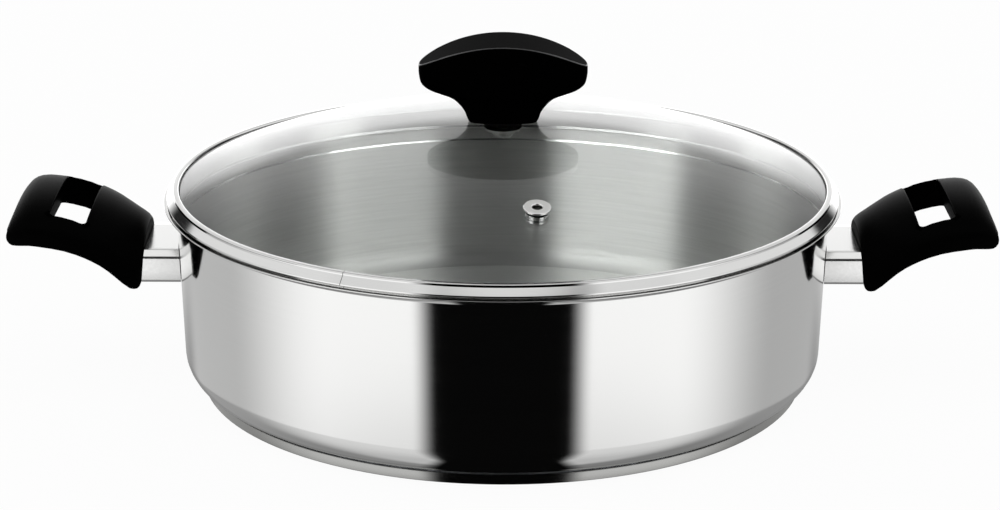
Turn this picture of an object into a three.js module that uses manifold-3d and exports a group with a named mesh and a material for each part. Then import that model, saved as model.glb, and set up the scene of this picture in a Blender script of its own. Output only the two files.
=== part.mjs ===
// Low casserole with a glass lid: a drawn stainless pot with a capped base, two side
// handles on steel necks, and a domed lid with a steel rim, a knob and a steam vent.
// Millimetres, +Z up. The pot stands on z = 0 with its axis on Z and its handles along X.

import * as THREE from 'three';
import { mergeVertices } from 'three/addons/utils/BufferGeometryUtils.js';
import Module from 'manifold-3d';

const wasm = await Module();
wasm.setup();

// Shared fits and roundness
const FIT = 0.3; // gap between fitted pieces
const TOUCH = 0.05; // gap between a seal and the curved glass it bears on
const ROUND_STEPS = 60; // facets round the pot and the lid
const SMALL_STEPS = 20; // facets round screws, washers and the vent

// Pot body
const POT_INNER_RADIUS = 140; // inside of the rim, a nominal 28 cm pot
const POT_HEIGHT = 84.2; // table to the crest of the lip
const POT_SHEET = 0.8;
const WALL_DRAFT = 2.4; // lean of the wall from the corner to the rim
const CORNER_RADIUS = 11; // outside, between floor and wall
const LIP_GAP = 2.3; // crest of the lip outside the lid's band
const LIP_RISE = 5.6; // height over which the wall flares into the lip
const LIP_CREST = 2.2; // width of the rounded crest
const LIP_EDGE = 1.9; // height of the crest's outer edge

// Capped base
const BASE_INSET = 9.8; // edge of the base inside the wall's outside
const BASE_HEIGHT = 4.6; // table to the underside of the pot's floor
const BASE_SHEET = 0.8;
const BASE_EDGE_RADIUS = 1.6;
const BASE_SEAM = 0.4; // dark line between the cap and the floor

// Lid rim band
const RIM_SHEET = 0.6;
const SKIRT_DEPTH = 10.2; // skirt below the crest of the lip
const SKIRT_CLEARANCE = 0.9; // between the skirt's foot and the pot's wall
const FLANGE_OVERLAP = 0.6; // flange over the crest of the lip
const FLANGE_EDGE = 0.5;
const SEAT_GAP = 0.2; // flange above the crest
const BEAD_RISE = 1.5; // top of the bead above the edge of the glass
const BEAD_WALL = 1.4; // bead outside the glass edge
const BEAD_COVER = 1.2; // bead over the top of the glass
const BEAD_CURL = 0.7; // radius of the bead's outer edge
const BEAD_SIDE = 0.5; // upright side between the curl and the slanted face

// Lid glass
const GLASS_THICKNESS = 4;
const GLASS_GRIP = 2.3; // glass edge inside the band
const GLASS_EDGE_DROP = 1.8; // underside of the glass edge below the flange
const GLASS_CHAMFER = 0.6;
const DOME_RISE = 27.7; // edge to apex
const DOME_STEPS = 12;

// Knob and its fixing
const KNOB_GAP = 1.6; // knob foot above the glass
const KNOB_EDGE = 1.4; // upright edge under the ends of the crown
const KNOB_CROWN_RISE = 12.3; // crown's middle above its ends
const KNOB_STEPS = 36; // points round each section
const KNOB_RISE = 20.3; // foot to the widest section
const KNOB_HALF_LENGTH = 36.2; // in X, at the widest section
const KNOB_HALF_DEPTH = 14.5; // in Y, at the widest section
const KNOB_STATIONS = [
  // shares of the three sizes above, and squareness
  { rise: 0, length: 0.406, depth: 0.607, power: 4 },
  { rise: 0.049, length: 0.423, depth: 0.655, power: 4 },
  { rise: 0.227, length: 0.467, depth: 0.703, power: 3.4 },
  { rise: 0.404, length: 0.561, depth: 0.759, power: 2.8 },
  { rise: 0.493, length: 0.646, depth: 0.807, power: 2.4 },
  { rise: 0.571, length: 0.779, depth: 0.855, power: 2.1 },
  { rise: 0.65, length: 0.892, depth: 0.897, power: 2 },
  { rise: 0.749, length: 0.964, depth: 0.938, power: 2 },
  { rise: 0.867, length: 0.989, depth: 0.966, power: 2 },
  { rise: 1, length: 1, depth: 1, power: 2 },
];
const KNOB_SEAL_RADIUS = 9;
const INSERT_WALL = 1.3;
const INSERT_LENGTH = 12;
const KNOB_SCREW_RADIUS = 2.4;
const KNOB_SCREW_SPARE = 3; // insert beyond the tip of the screw
const KNOB_SCREW_OVERHANG = 2.2; // head beyond the shank
const KNOB_SCREW_HEAD_HEIGHT = 2.7;
const GLASS_HOLE_CLEARANCE = 1.6; // round the screw
const UNDER_SEAL_RIM = 5.3; // seal and washer round the screw's hole
const UNDER_SEAL_THICKNESS = 1.5;
const UNDER_WASHER_RIM = 4.7;
const UNDER_WASHER_THICKNESS = 1;

// Steam vent
const VENT_INSET = 46.6; // vent's axis inside the edge of the glass
const VENT_TURN = THREE.MathUtils.degToRad(-81.2); // round the axis from +X
const VENT_BORE_RADIUS = 2.35;
const VENT_TUBE_WALL = 0.8;
const VENT_FLANGE_OVERLAP = 0.75; // flange, grommet and collar beyond the hole in the glass
const VENT_FLANGE_HEIGHT = 1.1;
const VENT_GROMMET_WALL = 0.8;
const VENT_GROMMET_OVERLAP = 0.35;
const VENT_GROMMET_LIP = 0.8;
const VENT_COLLAR_OVERLAP = 0.65;
const VENT_COLLAR_HEIGHT = 1;

// Handle neck: a steel sleeve over a welded bracket
const NECK_BELOW_CREST = 29.8; // axis of the neck below the crest of the lip
const NECK_WIDTH = 43.5;
const NECK_HEIGHT = 14.2;
const NECK_SHEET = 1;
const NECK_TOP_CHAMFER = 3.1;
const NECK_BOTTOM_CHAMFER = 1.4;
const NECK_LENGTH = 15; // pot wall to grip, on the axis
const BRACKET_MARGIN = 1.6; // bracket inside the sleeve, above and below
const BRACKET_EAR = 5; // width of each welded foot
const BRACKET_FOOT = 2.5; // foot plate outside the pot wall
const BRACKET_SHEET = 2;
const BRACKET_ENTRY = 3.2; // bracket inside the grip

// Handle grip, measured from its inner face and from the neck's axis
const GRIP_FACE_LEAN = 0.1; // inner face leans out towards its foot
const GRIP_LENGTH = 55.2; // inner face to tip
const GRIP_RISE = 30.2; // highest point of the crown
const GRIP_HALF_WIDTH = 37.3; // at the widest section
const GRIP_STATIONS = [
  // shares of the length; of the rise, for underside and crown; and of the half width
  { out: 0, under: -0.272, crown: 0.457, half: 0.649 },
  { out: 0.029, under: -0.305, crown: 0.523, half: 0.67 },
  { out: 0.101, under: -0.245, crown: 0.609, half: 0.718 },
  { out: 0.301, under: 0.103, crown: 0.808, half: 0.836 },
  { out: 0.536, under: 0.348, crown: 0.947, half: 0.938 },
  { out: 0.79, under: 0.46, crown: 1, half: 0.992 },
  { out: 0.899, under: 0.47, crown: 0.98, half: 1 },
  { out: 0.964, under: 0.483, crown: 0.881, half: 0.992 },
  { out: 1, under: 0.54, crown: 0.728, half: 0.954 },
];
const GRIP_SECTIONS = 17;
const GRIP_STEPS = 28; // points round each section
const GRIP_UNDER_POWER = 7; // flat underside
const GRIP_CROWN_POWER = 2.1; // rounded crown
const GRIP_EDGE_SHARE = 0.3; // where the edge lies between underside and crown
const WINDOW_OUT = 22; // upper edge of the finger window from the grip's inner face
const WINDOW_RISE = 23; // upper edge of the window above the neck's axis
const WINDOW_TILT = 0.3; // window leans out towards its foot
const WINDOW_LENGTH = 15.6;
const WINDOW_WIDTH = 56;
const WINDOW_CORNER = 2.4;

// Handle fixing: a screw along X into a nut inside the bracket
const SCREW_RADIUS = 2;
const SCREW_PROUD = 1.2; // tip beyond the nut
const SCREW_OVERHANG = 1.5; // head beyond the shank
const SCREW_HEAD_HEIGHT = 2.4;
const SCREW_WEB = 2.6; // grip between the bracket and the washer
const WASHER_RIM = 1.8; // round the screw's hole
const WASHER_THICKNESS = 0.8;
const NUT_WALL = 1.8; // round the screw's hole, at a corner
const NUT_THICKNESS = 3.2;

// Cross recess of the screws
const RECESS_WIDTH = 1.1;
const RECESS_DEPTH = 1.3;
const RECESS_SPAN = 0.6; // reach from the axis as a share of the head's radius
const HEAD_FACE = 0.8; // flat of the head as a share of its radius

// Heights and radii that follow from the sizes above
const wallRadius = POT_INNER_RADIUS + POT_SHEET;
const flareHeight = POT_HEIGHT - LIP_RISE;
const cornerTop = BASE_HEIGHT + CORNER_RADIUS;
const wallInset = (height) => (WALL_DRAFT * (flareHeight - height)) / (flareHeight - cornerTop);
const seatHeight = POT_HEIGHT + SEAT_GAP;
const skirtFoot = POT_HEIGHT - SKIRT_DEPTH;
const skirtRadius = POT_INNER_RADIUS - wallInset(skirtFoot) - SKIRT_CLEARANCE;
const glassRadius = skirtRadius - RIM_SHEET + GLASS_GRIP;
const pocketRadius = glassRadius + FIT;
const crestRadius = pocketRadius + RIM_SHEET + LIP_GAP;
const lipRadius = crestRadius + LIP_CREST;
const baseRadius = wallRadius - BASE_INSET;
const glassEdgeHeight = seatHeight - GLASS_EDGE_DROP + GLASS_THICKNESS;
const domeRadius = (glassRadius ** 2 + DOME_RISE ** 2) / (2 * DOME_RISE);
const domeApex = glassEdgeHeight + DOME_RISE;
const neckHeight = POT_HEIGHT - NECK_BELOW_CREST;
const knobScrewHole = KNOB_SCREW_RADIUS + FIT;
const insertRadius = knobScrewHole + INSERT_WALL;
const glassHole = KNOB_SCREW_RADIUS + GLASS_HOLE_CLEARANCE;
const underSealRadius = knobScrewHole + UNDER_SEAL_RIM;
const screwHole = SCREW_RADIUS + FIT;
const washerRadius = screwHole + WASHER_RIM;
const nutRadius = screwHole + NUT_WALL;

// Finishes
const finish = (color, roughness, metalness) =>
  new THREE.MeshStandardMaterial({ color, roughness, metalness, flatShading: true });
const polishedSteel = finish(0xc9cac8, 0.16, 1);
const brushedSteel = finish(0xb4b5b3, 0.38, 1);
const aluminium = finish(0xb9bcc0, 0.5, 1);
const brass = finish(0xb8923f, 0.4, 1);
const bakelite = finish(0x141415, 0.42, 0);
const silicone = finish(0x1b1b1c, 0.7, 0);
const glass = new THREE.MeshStandardMaterial({
  color: 0xe4ebe8, roughness: 0.04, metalness: 0, transparent: true, opacity: 0.35, flatShading: true,
});

const point = (x, y) => new THREE.Vector2(x, y);

// Points of an arc in a plane, ends included; angles in degrees.
function arc(x, y, radius, from, to, steps) {
  return Array.from({ length: steps + 1 }, (_, i) => {
    const angle = THREE.MathUtils.degToRad(from + ((to - from) * i) / steps);
    return point(x + radius * Math.cos(angle), y + radius * Math.sin(angle));
  });
}

// Points of a bend between two ends that leans towards a third point.
function bend(start, towards, end, steps) {
  return new THREE.QuadraticBezierCurve(start, towards, end).getPoints(steps);
}

// One closed body: shared vertices, no collapsed faces, faces pointing out.
function closed(geometry) {
  const bare = geometry.index ? geometry.toNonIndexed() : geometry.clone();
  for (const name of Object.keys(bare.attributes)) {
    if (name !== 'position') bare.deleteAttribute(name);
  }
  const merged = mergeVertices(bare, 1e-4);
  const index = Array.from(merged.index.array);
  const place = merged.attributes.position;
  const corner = (i) => new THREE.Vector3().fromBufferAttribute(place, i);
  let kept = [];
  let volume = 0;
  for (let i = 0; i < index.length; i += 3) {
    const [a, b, c] = index.slice(i, i + 3);
    if (a === b || b === c || c === a) continue;
    kept.push(a, b, c);
    volume += corner(a).dot(corner(b).cross(corner(c)));
  }
  if (volume < 0) kept = kept.reverse();
  merged.setIndex(kept);
  return merged;
}

function toSolid(geometry) {
  const body = closed(geometry);
  return new wasm.Manifold(new wasm.Mesh({
    numProp: 3,
    vertProperties: new Float32Array(body.attributes.position.array),
    triVerts: new Uint32Array(body.index.array),
  }));
}

// A geometry with others cut out of it.
function cut(geometry, ...tools) {
  const solid = tools.reduce((left, tool) => left.subtract(toSolid(tool)), toSolid(geometry));
  const mesh = solid.getMesh();
  const result = new THREE.BufferGeometry();
  result.setAttribute('position', new THREE.BufferAttribute(new Float32Array(mesh.vertProperties), 3));
  result.setIndex(Array.from(mesh.triVerts));
  return result;
}

// A profile of (radius, height) turned about Z.
function turned(profile, steps) {
  const geometry = new THREE.LatheGeometry(profile, steps);
  geometry.rotateX(Math.PI / 2);
  return closed(geometry);
}

// A closed profile turned about Z.
function ring(profile, steps) {
  return turned([...profile, profile[0].clone()], steps);
}

// A plain ring between two radii and two heights.
function band(inner, outer, low, high, steps) {
  return ring([point(inner, low), point(outer, low), point(outer, high), point(inner, high)], steps);
}

// A round bar from one height to another.
function bar(radius, low, high, steps) {
  return turned([point(0, low), point(radius, low), point(radius, high), point(0, high)], steps);
}

// Sections with as many points each, joined and closed at both ends. Every section
// mirrors itself, so its ends are closed by strips between paired points.
function loft(sections) {
  const count = sections[0].length;
  const faces = [];
  const quad = (a, b, c, d) => faces.push(a, b, c, a, c, d);
  for (let s = 0; s + 1 < sections.length; s += 1) {
    for (let i = 0; i < count; i += 1) {
      const next = (i + 1) % count;
      quad(s * count + i, s * count + next, (s + 1) * count + next, (s + 1) * count + i);
    }
  }
  for (const [first, inward] of [[0, true], [(sections.length - 1) * count, false]]) {
    for (let i = 0; i < count / 2; i += 1) {
      const strip = [i, i + 1, count - 1 - i, (count - i) % count].map((k) => first + k);
      quad(...(inward ? strip.reverse() : strip));
    }
  }
  const geometry = new THREE.BufferGeometry();
  const places = sections.flat().flatMap((p) => [p.x, p.y, p.z]);
  geometry.setAttribute('position', new THREE.Float32BufferAttribute(places, 3));
  geometry.setIndex(faces);
  return closed(geometry);
}

function piece(name, geometry, material) {
  const shape = geometry.clone();
  shape.computeVertexNormals();
  const mesh = new THREE.Mesh(shape, material);
  mesh.name = name;
  return mesh;
}

// Height of the glass's outer surface at a distance from the lid's axis.
function domeHeight(radius) {
  return domeApex - domeRadius + Math.sqrt(domeRadius ** 2 - radius ** 2);
}

// Outside of the pot between the corner and the flare.
function wallOutline(offset) {
  return [
    ...arc(wallRadius - WALL_DRAFT - CORNER_RADIUS, cornerTop, CORNER_RADIUS + offset, -90, 0, 5),
    point(wallRadius + offset, flareHeight),
  ];
}

function potBody() {
  const inner = wallOutline(-POT_SHEET).reverse();
  const edgeRadius = LIP_EDGE / 2;
  const edgeFoot = POT_HEIGHT - LIP_EDGE;
  const profile = [
    point(0, BASE_HEIGHT),
    ...wallOutline(0),
    ...bend(
      point(wallRadius, flareHeight),
      point(wallRadius + edgeRadius, edgeFoot),
      point(lipRadius - edgeRadius, edgeFoot),
      4,
    ).slice(1),
    ...arc(lipRadius - edgeRadius, POT_HEIGHT - edgeRadius, edgeRadius, -45, 90, 3),
    point(crestRadius, POT_HEIGHT),
    ...inner,
    point(0, BASE_HEIGHT + POT_SHEET),
  ];
  return turned(profile, ROUND_STEPS);
}

function baseCap() {
  const top = BASE_HEIGHT - BASE_SEAM;
  const profile = [
    point(0, 0),
    ...arc(baseRadius - BASE_EDGE_RADIUS, BASE_EDGE_RADIUS, BASE_EDGE_RADIUS, -90, 0, 3),
    point(baseRadius, top),
    point(baseRadius - BASE_SHEET, top),
    point(baseRadius - BASE_SHEET, BASE_EDGE_RADIUS),
    point(baseRadius - BASE_EDGE_RADIUS, BASE_SHEET),
    point(0, BASE_SHEET),
  ];
  return turned(profile, ROUND_STEPS);
}

function baseCore() {
  const radius = baseRadius - BASE_SHEET - FIT;
  return turned([
    point(0, BASE_SHEET),
    point(radius - BASE_EDGE_RADIUS, BASE_SHEET),
    point(radius, BASE_SHEET + BASE_EDGE_RADIUS),
    point(radius, BASE_HEIGHT),
    point(0, BASE_HEIGHT),
  ], ROUND_STEPS);
}

function lidGlass() {
  const edge = glassRadius - GLASS_CHAMFER;
  const pad = Math.max(KNOB_SEAL_RADIUS, underSealRadius);
  const steps = Array.from({ length: DOME_STEPS }, (_, i) => pad + ((edge - pad) * i) / (DOME_STEPS - 1));
  const radii = [glassHole, ...steps];
  const outside = radii.map((r) => point(r, domeHeight(r)));
  const inside = radii.map((r) => point(r, domeHeight(r) - GLASS_THICKNESS)).reverse();
  const profile = [
    ...outside,
    point(glassRadius, glassEdgeHeight - GLASS_CHAMFER),
    point(glassRadius, glassEdgeHeight - GLASS_THICKNESS + GLASS_CHAMFER),
    ...inside,
  ];
  return cut(ring(profile, ROUND_STEPS), placedAtVent(ventHole()));
}

function lidRimBand() {
  const skirtInner = skirtRadius - RIM_SHEET;
  const pocketWall = pocketRadius + RIM_SHEET;
  const beadRadius = pocketRadius + BEAD_WALL;
  const beadTop = glassEdgeHeight + BEAD_RISE;
  const beadInner = glassRadius - BEAD_COVER;
  const shelf = glassEdgeHeight - GLASS_THICKNESS - FIT;
  const flangeRadius = crestRadius + FLANGE_OVERLAP;
  return ring([
    point(skirtRadius, skirtFoot),
    point(skirtRadius, shelf - RIM_SHEET),
    point(pocketWall, shelf - RIM_SHEET),
    point(pocketWall, seatHeight),
    point(flangeRadius, seatHeight),
    point(flangeRadius, seatHeight + FLANGE_EDGE),
    point(beadRadius, beadTop - BEAD_CURL - BEAD_SIDE),
    ...arc(beadRadius - BEAD_CURL, beadTop - BEAD_CURL, BEAD_CURL, 0, 90, 3),
    point(beadInner + RIM_SHEET, beadTop),
    point(beadInner, domeHeight(beadInner) + RIM_SHEET),
    point(beadInner, domeHeight(beadInner) + FIT),
    point(pocketRadius, glassEdgeHeight + FIT),
    point(pocketRadius, shelf),
    point(skirtInner, domeHeight(skirtInner) - GLASS_THICKNESS - FIT),
    point(skirtInner, skirtFoot),
  ], ROUND_STEPS);
}

// An oblong section with softened corners: half length in X, half depth in Y.
function knobSection({ rise, length, depth, power }, foot) {
  return Array.from({ length: KNOB_STEPS }, (_, i) => {
    const angle = (2 * Math.PI * i) / KNOB_STEPS;
    const swell = (v) => Math.sign(v) * Math.abs(v) ** (2 / power);
    const x = KNOB_HALF_LENGTH * length * swell(Math.cos(angle));
    const y = KNOB_HALF_DEPTH * depth * swell(Math.sin(angle));
    return new THREE.Vector3(x, y, foot + KNOB_RISE * rise);
  });
}

function knob() {
  const foot = domeApex + KNOB_GAP;
  const sections = KNOB_STATIONS.map((station) => knobSection(station, foot));
  const half = KNOB_HALF_LENGTH;
  const ends = foot + KNOB_RISE + KNOB_EDGE;
  const radius = (half ** 2 + KNOB_CROWN_RISE ** 2) / (2 * KNOB_CROWN_RISE);
  const crown = sections.at(-1).map(({ x, y }) => {
    const above = Math.sqrt(radius ** 2 - x ** 2) - Math.sqrt(radius ** 2 - half ** 2);
    return new THREE.Vector3(x, y, ends + above);
  });
  const socket = bar(insertRadius + FIT, foot - FIT, foot + INSERT_LENGTH + FIT, SMALL_STEPS);
  return cut(loft([...sections, crown]), socket);
}

function knobInsert() {
  const low = domeApex + KNOB_GAP;
  return band(knobScrewHole, insertRadius, low, low + INSERT_LENGTH, SMALL_STEPS);
}

function knobSeal() {
  const top = domeApex + KNOB_GAP - TOUCH;
  return ring([
    point(knobScrewHole, domeApex + TOUCH),
    point(glassHole, domeApex + TOUCH),
    point(KNOB_SEAL_RADIUS, domeHeight(KNOB_SEAL_RADIUS) + TOUCH),
    point(KNOB_SEAL_RADIUS, top),
    point(knobScrewHole, top),
  ], SMALL_STEPS);
}

// Undersides of the stack below the glass, from the glass down.
const underGlass = domeHeight(underSealRadius) - GLASS_THICKNESS - TOUCH;
const underSealFoot = underGlass - UNDER_SEAL_THICKNESS;
const underWasherFoot = underSealFoot - UNDER_WASHER_THICKNESS;

function underSeal() {
  return band(knobScrewHole, underSealRadius, underSealFoot, underGlass, SMALL_STEPS);
}

function underWasher() {
  const radius = knobScrewHole + UNDER_WASHER_RIM;
  return band(knobScrewHole, radius, underWasherFoot, underSealFoot, SMALL_STEPS);
}

// A cross recess across a screw head whose outer face is at a height.
function crossRecess(radius, face) {
  return [0, Math.PI / 2].map((turn) => {
    const slot = new THREE.BoxGeometry(2 * RECESS_SPAN * radius, RECESS_WIDTH, 2 * RECESS_DEPTH);
    slot.rotateZ(turn);
    slot.translate(0, 0, face);
    return slot;
  });
}

// A pan-head screw turned about Z: shank up from z = 0, head below it.
function panScrew(shank, head, headHeight, length) {
  const blank = turned([
    point(0, -headHeight),
    point(head * HEAD_FACE, -headHeight),
    point(head, -headHeight / 2),
    point(head, 0),
    point(shank, 0),
    point(shank, length),
    point(0, length),
  ], SMALL_STEPS);
  return cut(blank, ...crossRecess(head, -headHeight));
}

function knobScrew() {
  const tip = domeApex + KNOB_GAP + INSERT_LENGTH - KNOB_SCREW_SPARE;
  const head = KNOB_SCREW_RADIUS + KNOB_SCREW_OVERHANG;
  const screw = panScrew(KNOB_SCREW_RADIUS, head, KNOB_SCREW_HEAD_HEIGHT, tip - underWasherFoot);
  screw.translate(0, 0, underWasherFoot);
  return screw;
}

// The vent's own frame: Z along the glass's normal, z = 0 on its outer surface.
const ventTube = VENT_BORE_RADIUS + VENT_TUBE_WALL;
const ventSleeve = ventTube + FIT + VENT_GROMMET_WALL;
const ventHoleRadius = ventSleeve + FIT;
const ventDistance = glassRadius - VENT_INSET;
const ventTilt = Math.asin(ventDistance / domeRadius);

function placedAtVent(geometry) {
  const placed = geometry.clone();
  placed.rotateY(ventTilt);
  placed.translate(ventDistance, 0, domeHeight(ventDistance));
  placed.rotateZ(VENT_TURN);
  return placed;
}

function ventHole() {
  return bar(ventHoleRadius, -2 * GLASS_THICKNESS, 2 * GLASS_THICKNESS, SMALL_STEPS);
}

function ventEyelet() {
  const low = FIT + VENT_GROMMET_LIP + FIT;
  const high = low + VENT_FLANGE_HEIGHT;
  const foot = -GLASS_THICKNESS - 2 * FIT - VENT_COLLAR_HEIGHT;
  const flange = ventHoleRadius + VENT_FLANGE_OVERLAP;
  return ring([
    point(VENT_BORE_RADIUS, foot),
    point(ventTube, foot),
    point(ventTube, low),
    point(flange, low),
    point(flange, (low + high) / 2),
    point(flange - VENT_TUBE_WALL, high),
    point(ventTube, high),
    point(VENT_BORE_RADIUS, (low + high) / 2),
  ], SMALL_STEPS);
}

function ventGrommet() {
  const lip = ventHoleRadius + VENT_GROMMET_OVERLAP;
  return ring([
    point(ventTube + FIT, -GLASS_THICKNESS),
    point(ventSleeve, -GLASS_THICKNESS),
    point(ventSleeve, FIT),
    point(lip, FIT),
    point(lip, FIT + VENT_GROMMET_LIP),
    point(ventTube + FIT, FIT + VENT_GROMMET_LIP),
  ], SMALL_STEPS);
}

function ventCollar() {
  const high = -GLASS_THICKNESS - 2 * FIT;
  const radius = ventHoleRadius + VENT_COLLAR_OVERLAP;
  return band(ventTube + FIT, radius, high - VENT_COLLAR_HEIGHT, high, SMALL_STEPS);
}

// The handle's own frame: X outwards, z = 0 on the neck's axis.
const wallAtNeck = wallRadius - wallInset(neckHeight);
const gripFace = wallAtNeck + NECK_LENGTH;
const bracketEnd = gripFace + BRACKET_ENTRY;
const screwSeat = bracketEnd + FIT + SCREW_WEB;
const headSeat = screwSeat + WASHER_THICKNESS + 2 * FIT;
const nutFace = bracketEnd - BRACKET_SHEET - FIT - NUT_THICKNESS;
const sleeveHalf = NECK_WIDTH / 2 - NECK_SHEET;
const bracketHeight = NECK_HEIGHT - 2 * (NECK_SHEET + BRACKET_MARGIN);
const bracketEar = sleeveHalf - Math.max(NECK_TOP_CHAMFER, NECK_BOTTOM_CHAMFER) + BRACKET_MARGIN - FIT;
const bracketArm = bracketEar - BRACKET_EAR;

// A shape in the plane across X, drawn out along X.
function alongX(shape, from, to) {
  const geometry = new THREE.ExtrudeGeometry(shape, { depth: to - from, bevelEnabled: false });
  geometry.rotateX(Math.PI / 2);
  geometry.rotateZ(Math.PI / 2);
  geometry.translate(from, 0, 0);
  return geometry;
}

// A round piece turned about Z, laid along the screw's axis.
function laidAlongX(geometry, from) {
  const laid = geometry.clone();
  laid.rotateY(Math.PI / 2);
  laid.translate(from, 0, 0);
  return laid;
}

// Everything inside the pot wall's outside, with a clearance, in the handle's frame.
function wallEnvelope() {
  const outline = wallOutline(FIT);
  const tool = turned([point(0, outline[0].y), ...outline, point(0, flareHeight)], ROUND_STEPS);
  tool.translate(0, 0, -neckHeight);
  return tool;
}

// A chamfered box section: half width, half height, upper and lower chamfer.
function neckSection(half, high, upper, lower) {
  return [
    point(-half + lower, -high),
    point(half - lower, -high),
    point(half, -high + lower),
    point(half, high - upper),
    point(half - upper, high),
    point(-half + upper, high),
    point(-half, high - upper),
    point(-half, -high + lower),
  ];
}

// Everything beyond the grip's leaning inner face.
function beyondFace(clearance) {
  const reach = 4 * NECK_WIDTH;
  const block = new THREE.BoxGeometry(reach, reach, reach);
  block.translate(reach / 2, 0, 0);
  block.rotateY(-Math.atan(GRIP_FACE_LEAN));
  block.translate(gripFace - clearance, 0, 0);
  return block;
}

function flameGuard() {
  const half = NECK_WIDTH / 2;
  const high = NECK_HEIGHT / 2;
  const shape = new THREE.Shape(neckSection(half, high, NECK_TOP_CHAMFER, NECK_BOTTOM_CHAMFER));
  const hollow = neckSection(sleeveHalf, high - NECK_SHEET, NECK_TOP_CHAMFER, NECK_BOTTOM_CHAMFER);
  shape.holes.push(new THREE.Path(hollow));
  const sleeve = alongX(shape, wallAtNeck - NECK_WIDTH / 2, gripFace + NECK_HEIGHT);
  return cut(sleeve, wallEnvelope(), beyondFace(FIT));
}

// A hat-shaped strap: two feet on the wall, two arms and an end plate with the screw hole.
function handleBracket() {
  const [ear, arm] = [bracketEar, bracketArm];
  const root = wallAtNeck - ear / 2;
  const foot = wallAtNeck + BRACKET_FOOT;
  const shape = new THREE.Shape([
    point(root, -ear),
    point(foot, -ear),
    point(foot, -arm),
    point(bracketEnd, -arm),
    point(bracketEnd, arm),
    point(foot, arm),
    point(foot, ear),
    point(root, ear),
    point(root, arm - BRACKET_SHEET),
    point(bracketEnd - BRACKET_SHEET, arm - BRACKET_SHEET),
    point(bracketEnd - BRACKET_SHEET, -arm + BRACKET_SHEET),
    point(root, -arm + BRACKET_SHEET),
  ]);
  const strap = new THREE.ExtrudeGeometry(shape, { depth: bracketHeight, bevelEnabled: false });
  strap.translate(0, 0, -bracketHeight / 2);
  const drill = bar(screwHole, -2 * BRACKET_SHEET, 2 * BRACKET_SHEET, SMALL_STEPS);
  const hole = laidAlongX(drill, bracketEnd);
  return cut(strap, wallEnvelope(), hole);
}

function bracketNut() {
  const nut = cut(
    bar(nutRadius, 0, NUT_THICKNESS, 6),
    bar(screwHole, -NUT_THICKNESS, 2 * NUT_THICKNESS, SMALL_STEPS),
  );
  return laidAlongX(nut, nutFace);
}

// A size of the grip at a distance from its inner face, smooth through the stations.
function gripSize(key, whole) {
  const curve = new THREE.SplineCurve(GRIP_STATIONS.map((s) => point(s.out, s[key])));
  return (share) => whole * curve.getPoint(share).y;
}

// One section of the grip: flat below, crowned above, mirrored about Y = 0.
function gripSection(out, under, crown, half) {
  const edge = under + (crown - under) * GRIP_EDGE_SHARE;
  const lean = GRIP_FACE_LEAN * (1 - out / GRIP_LENGTH);
  return Array.from({ length: GRIP_STEPS }, (_, i) => {
    const angle = (2 * Math.PI * i) / GRIP_STEPS;
    const above = Math.sin(angle) >= 0;
    const power = above ? GRIP_CROWN_POWER : GRIP_UNDER_POWER;
    const swell = (v) => Math.sign(v) * Math.abs(v) ** (2 / power);
    const height = edge + (above ? crown - edge : edge - under) * swell(Math.sin(angle));
    return new THREE.Vector3(gripFace + out - lean * height, half * swell(Math.cos(angle)), height);
  });
}

function gripBody() {
  const under = gripSize('under', GRIP_RISE);
  const crown = gripSize('crown', GRIP_RISE);
  const half = gripSize('half', GRIP_HALF_WIDTH);
  const along = gripSize('out', GRIP_LENGTH);
  return loft(Array.from({ length: GRIP_SECTIONS }, (_, i) => {
    const share = i / (GRIP_SECTIONS - 1);
    return gripSection(along(share), under(share), crown(share), half(share));
  }));
}

// The finger window, right through from top to bottom.
function fingerWindow() {
  const [x, y, r] = [WINDOW_LENGTH / 2, WINDOW_WIDTH / 2, WINDOW_CORNER];
  const outline = [
    ...arc(x - r, y - r, r, 0, 90, 4),
    ...arc(-x + r, y - r, r, 90, 180, 4),
    ...arc(-x + r, -y + r, r, 180, 270, 4),
    ...arc(x - r, -y + r, r, 270, 360, 4),
  ];
  const depth = 4 * WINDOW_WIDTH;
  const tool = new THREE.ExtrudeGeometry(new THREE.Shape(outline), { depth, bevelEnabled: false });
  tool.translate(x, 0, -depth / 2);
  tool.rotateY(-Math.atan(WINDOW_TILT));
  tool.translate(gripFace + WINDOW_OUT, 0, WINDOW_RISE);
  return tool;
}

function handleGrip() {
  const pocketEnd = bracketEnd + FIT;
  const pocketHigh = Math.max(bracketHeight, 2 * nutRadius) + 2 * FIT;
  const pocket = new THREE.BoxGeometry(NECK_WIDTH, 2 * (bracketArm + FIT), pocketHigh);
  pocket.translate(pocketEnd - NECK_WIDTH / 2, 0, 0);
  const hole = laidAlongX(bar(screwHole, -SCREW_WEB, 2 * SCREW_WEB, SMALL_STEPS), pocketEnd);
  const runOut = gripFace + WINDOW_OUT - screwSeat;
  const counterbore = laidAlongX(bar(washerRadius + FIT, 0, runOut, SMALL_STEPS), screwSeat);
  return cut(gripBody(), fingerWindow(), pocket, hole, counterbore);
}

function handleWasher() {
  return laidAlongX(
    band(screwHole, washerRadius, 0, WASHER_THICKNESS, SMALL_STEPS),
    screwSeat + FIT,
  );
}

function handleScrew() {
  const head = SCREW_RADIUS + SCREW_OVERHANG;
  const length = headSeat - nutFace + SCREW_PROUD;
  const screw = panScrew(SCREW_RADIUS, head, SCREW_HEAD_HEIGHT, length);
  screw.rotateX(Math.PI);
  return laidAlongX(screw, headSeat);
}

function potGroup() {
  return new THREE.Group().add(
    piece('pot_body', potBody(), polishedSteel),
    piece('base_core_disc', baseCore(), aluminium),
    piece('base_cap', baseCap(), brushedSteel),
  );
}

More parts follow.
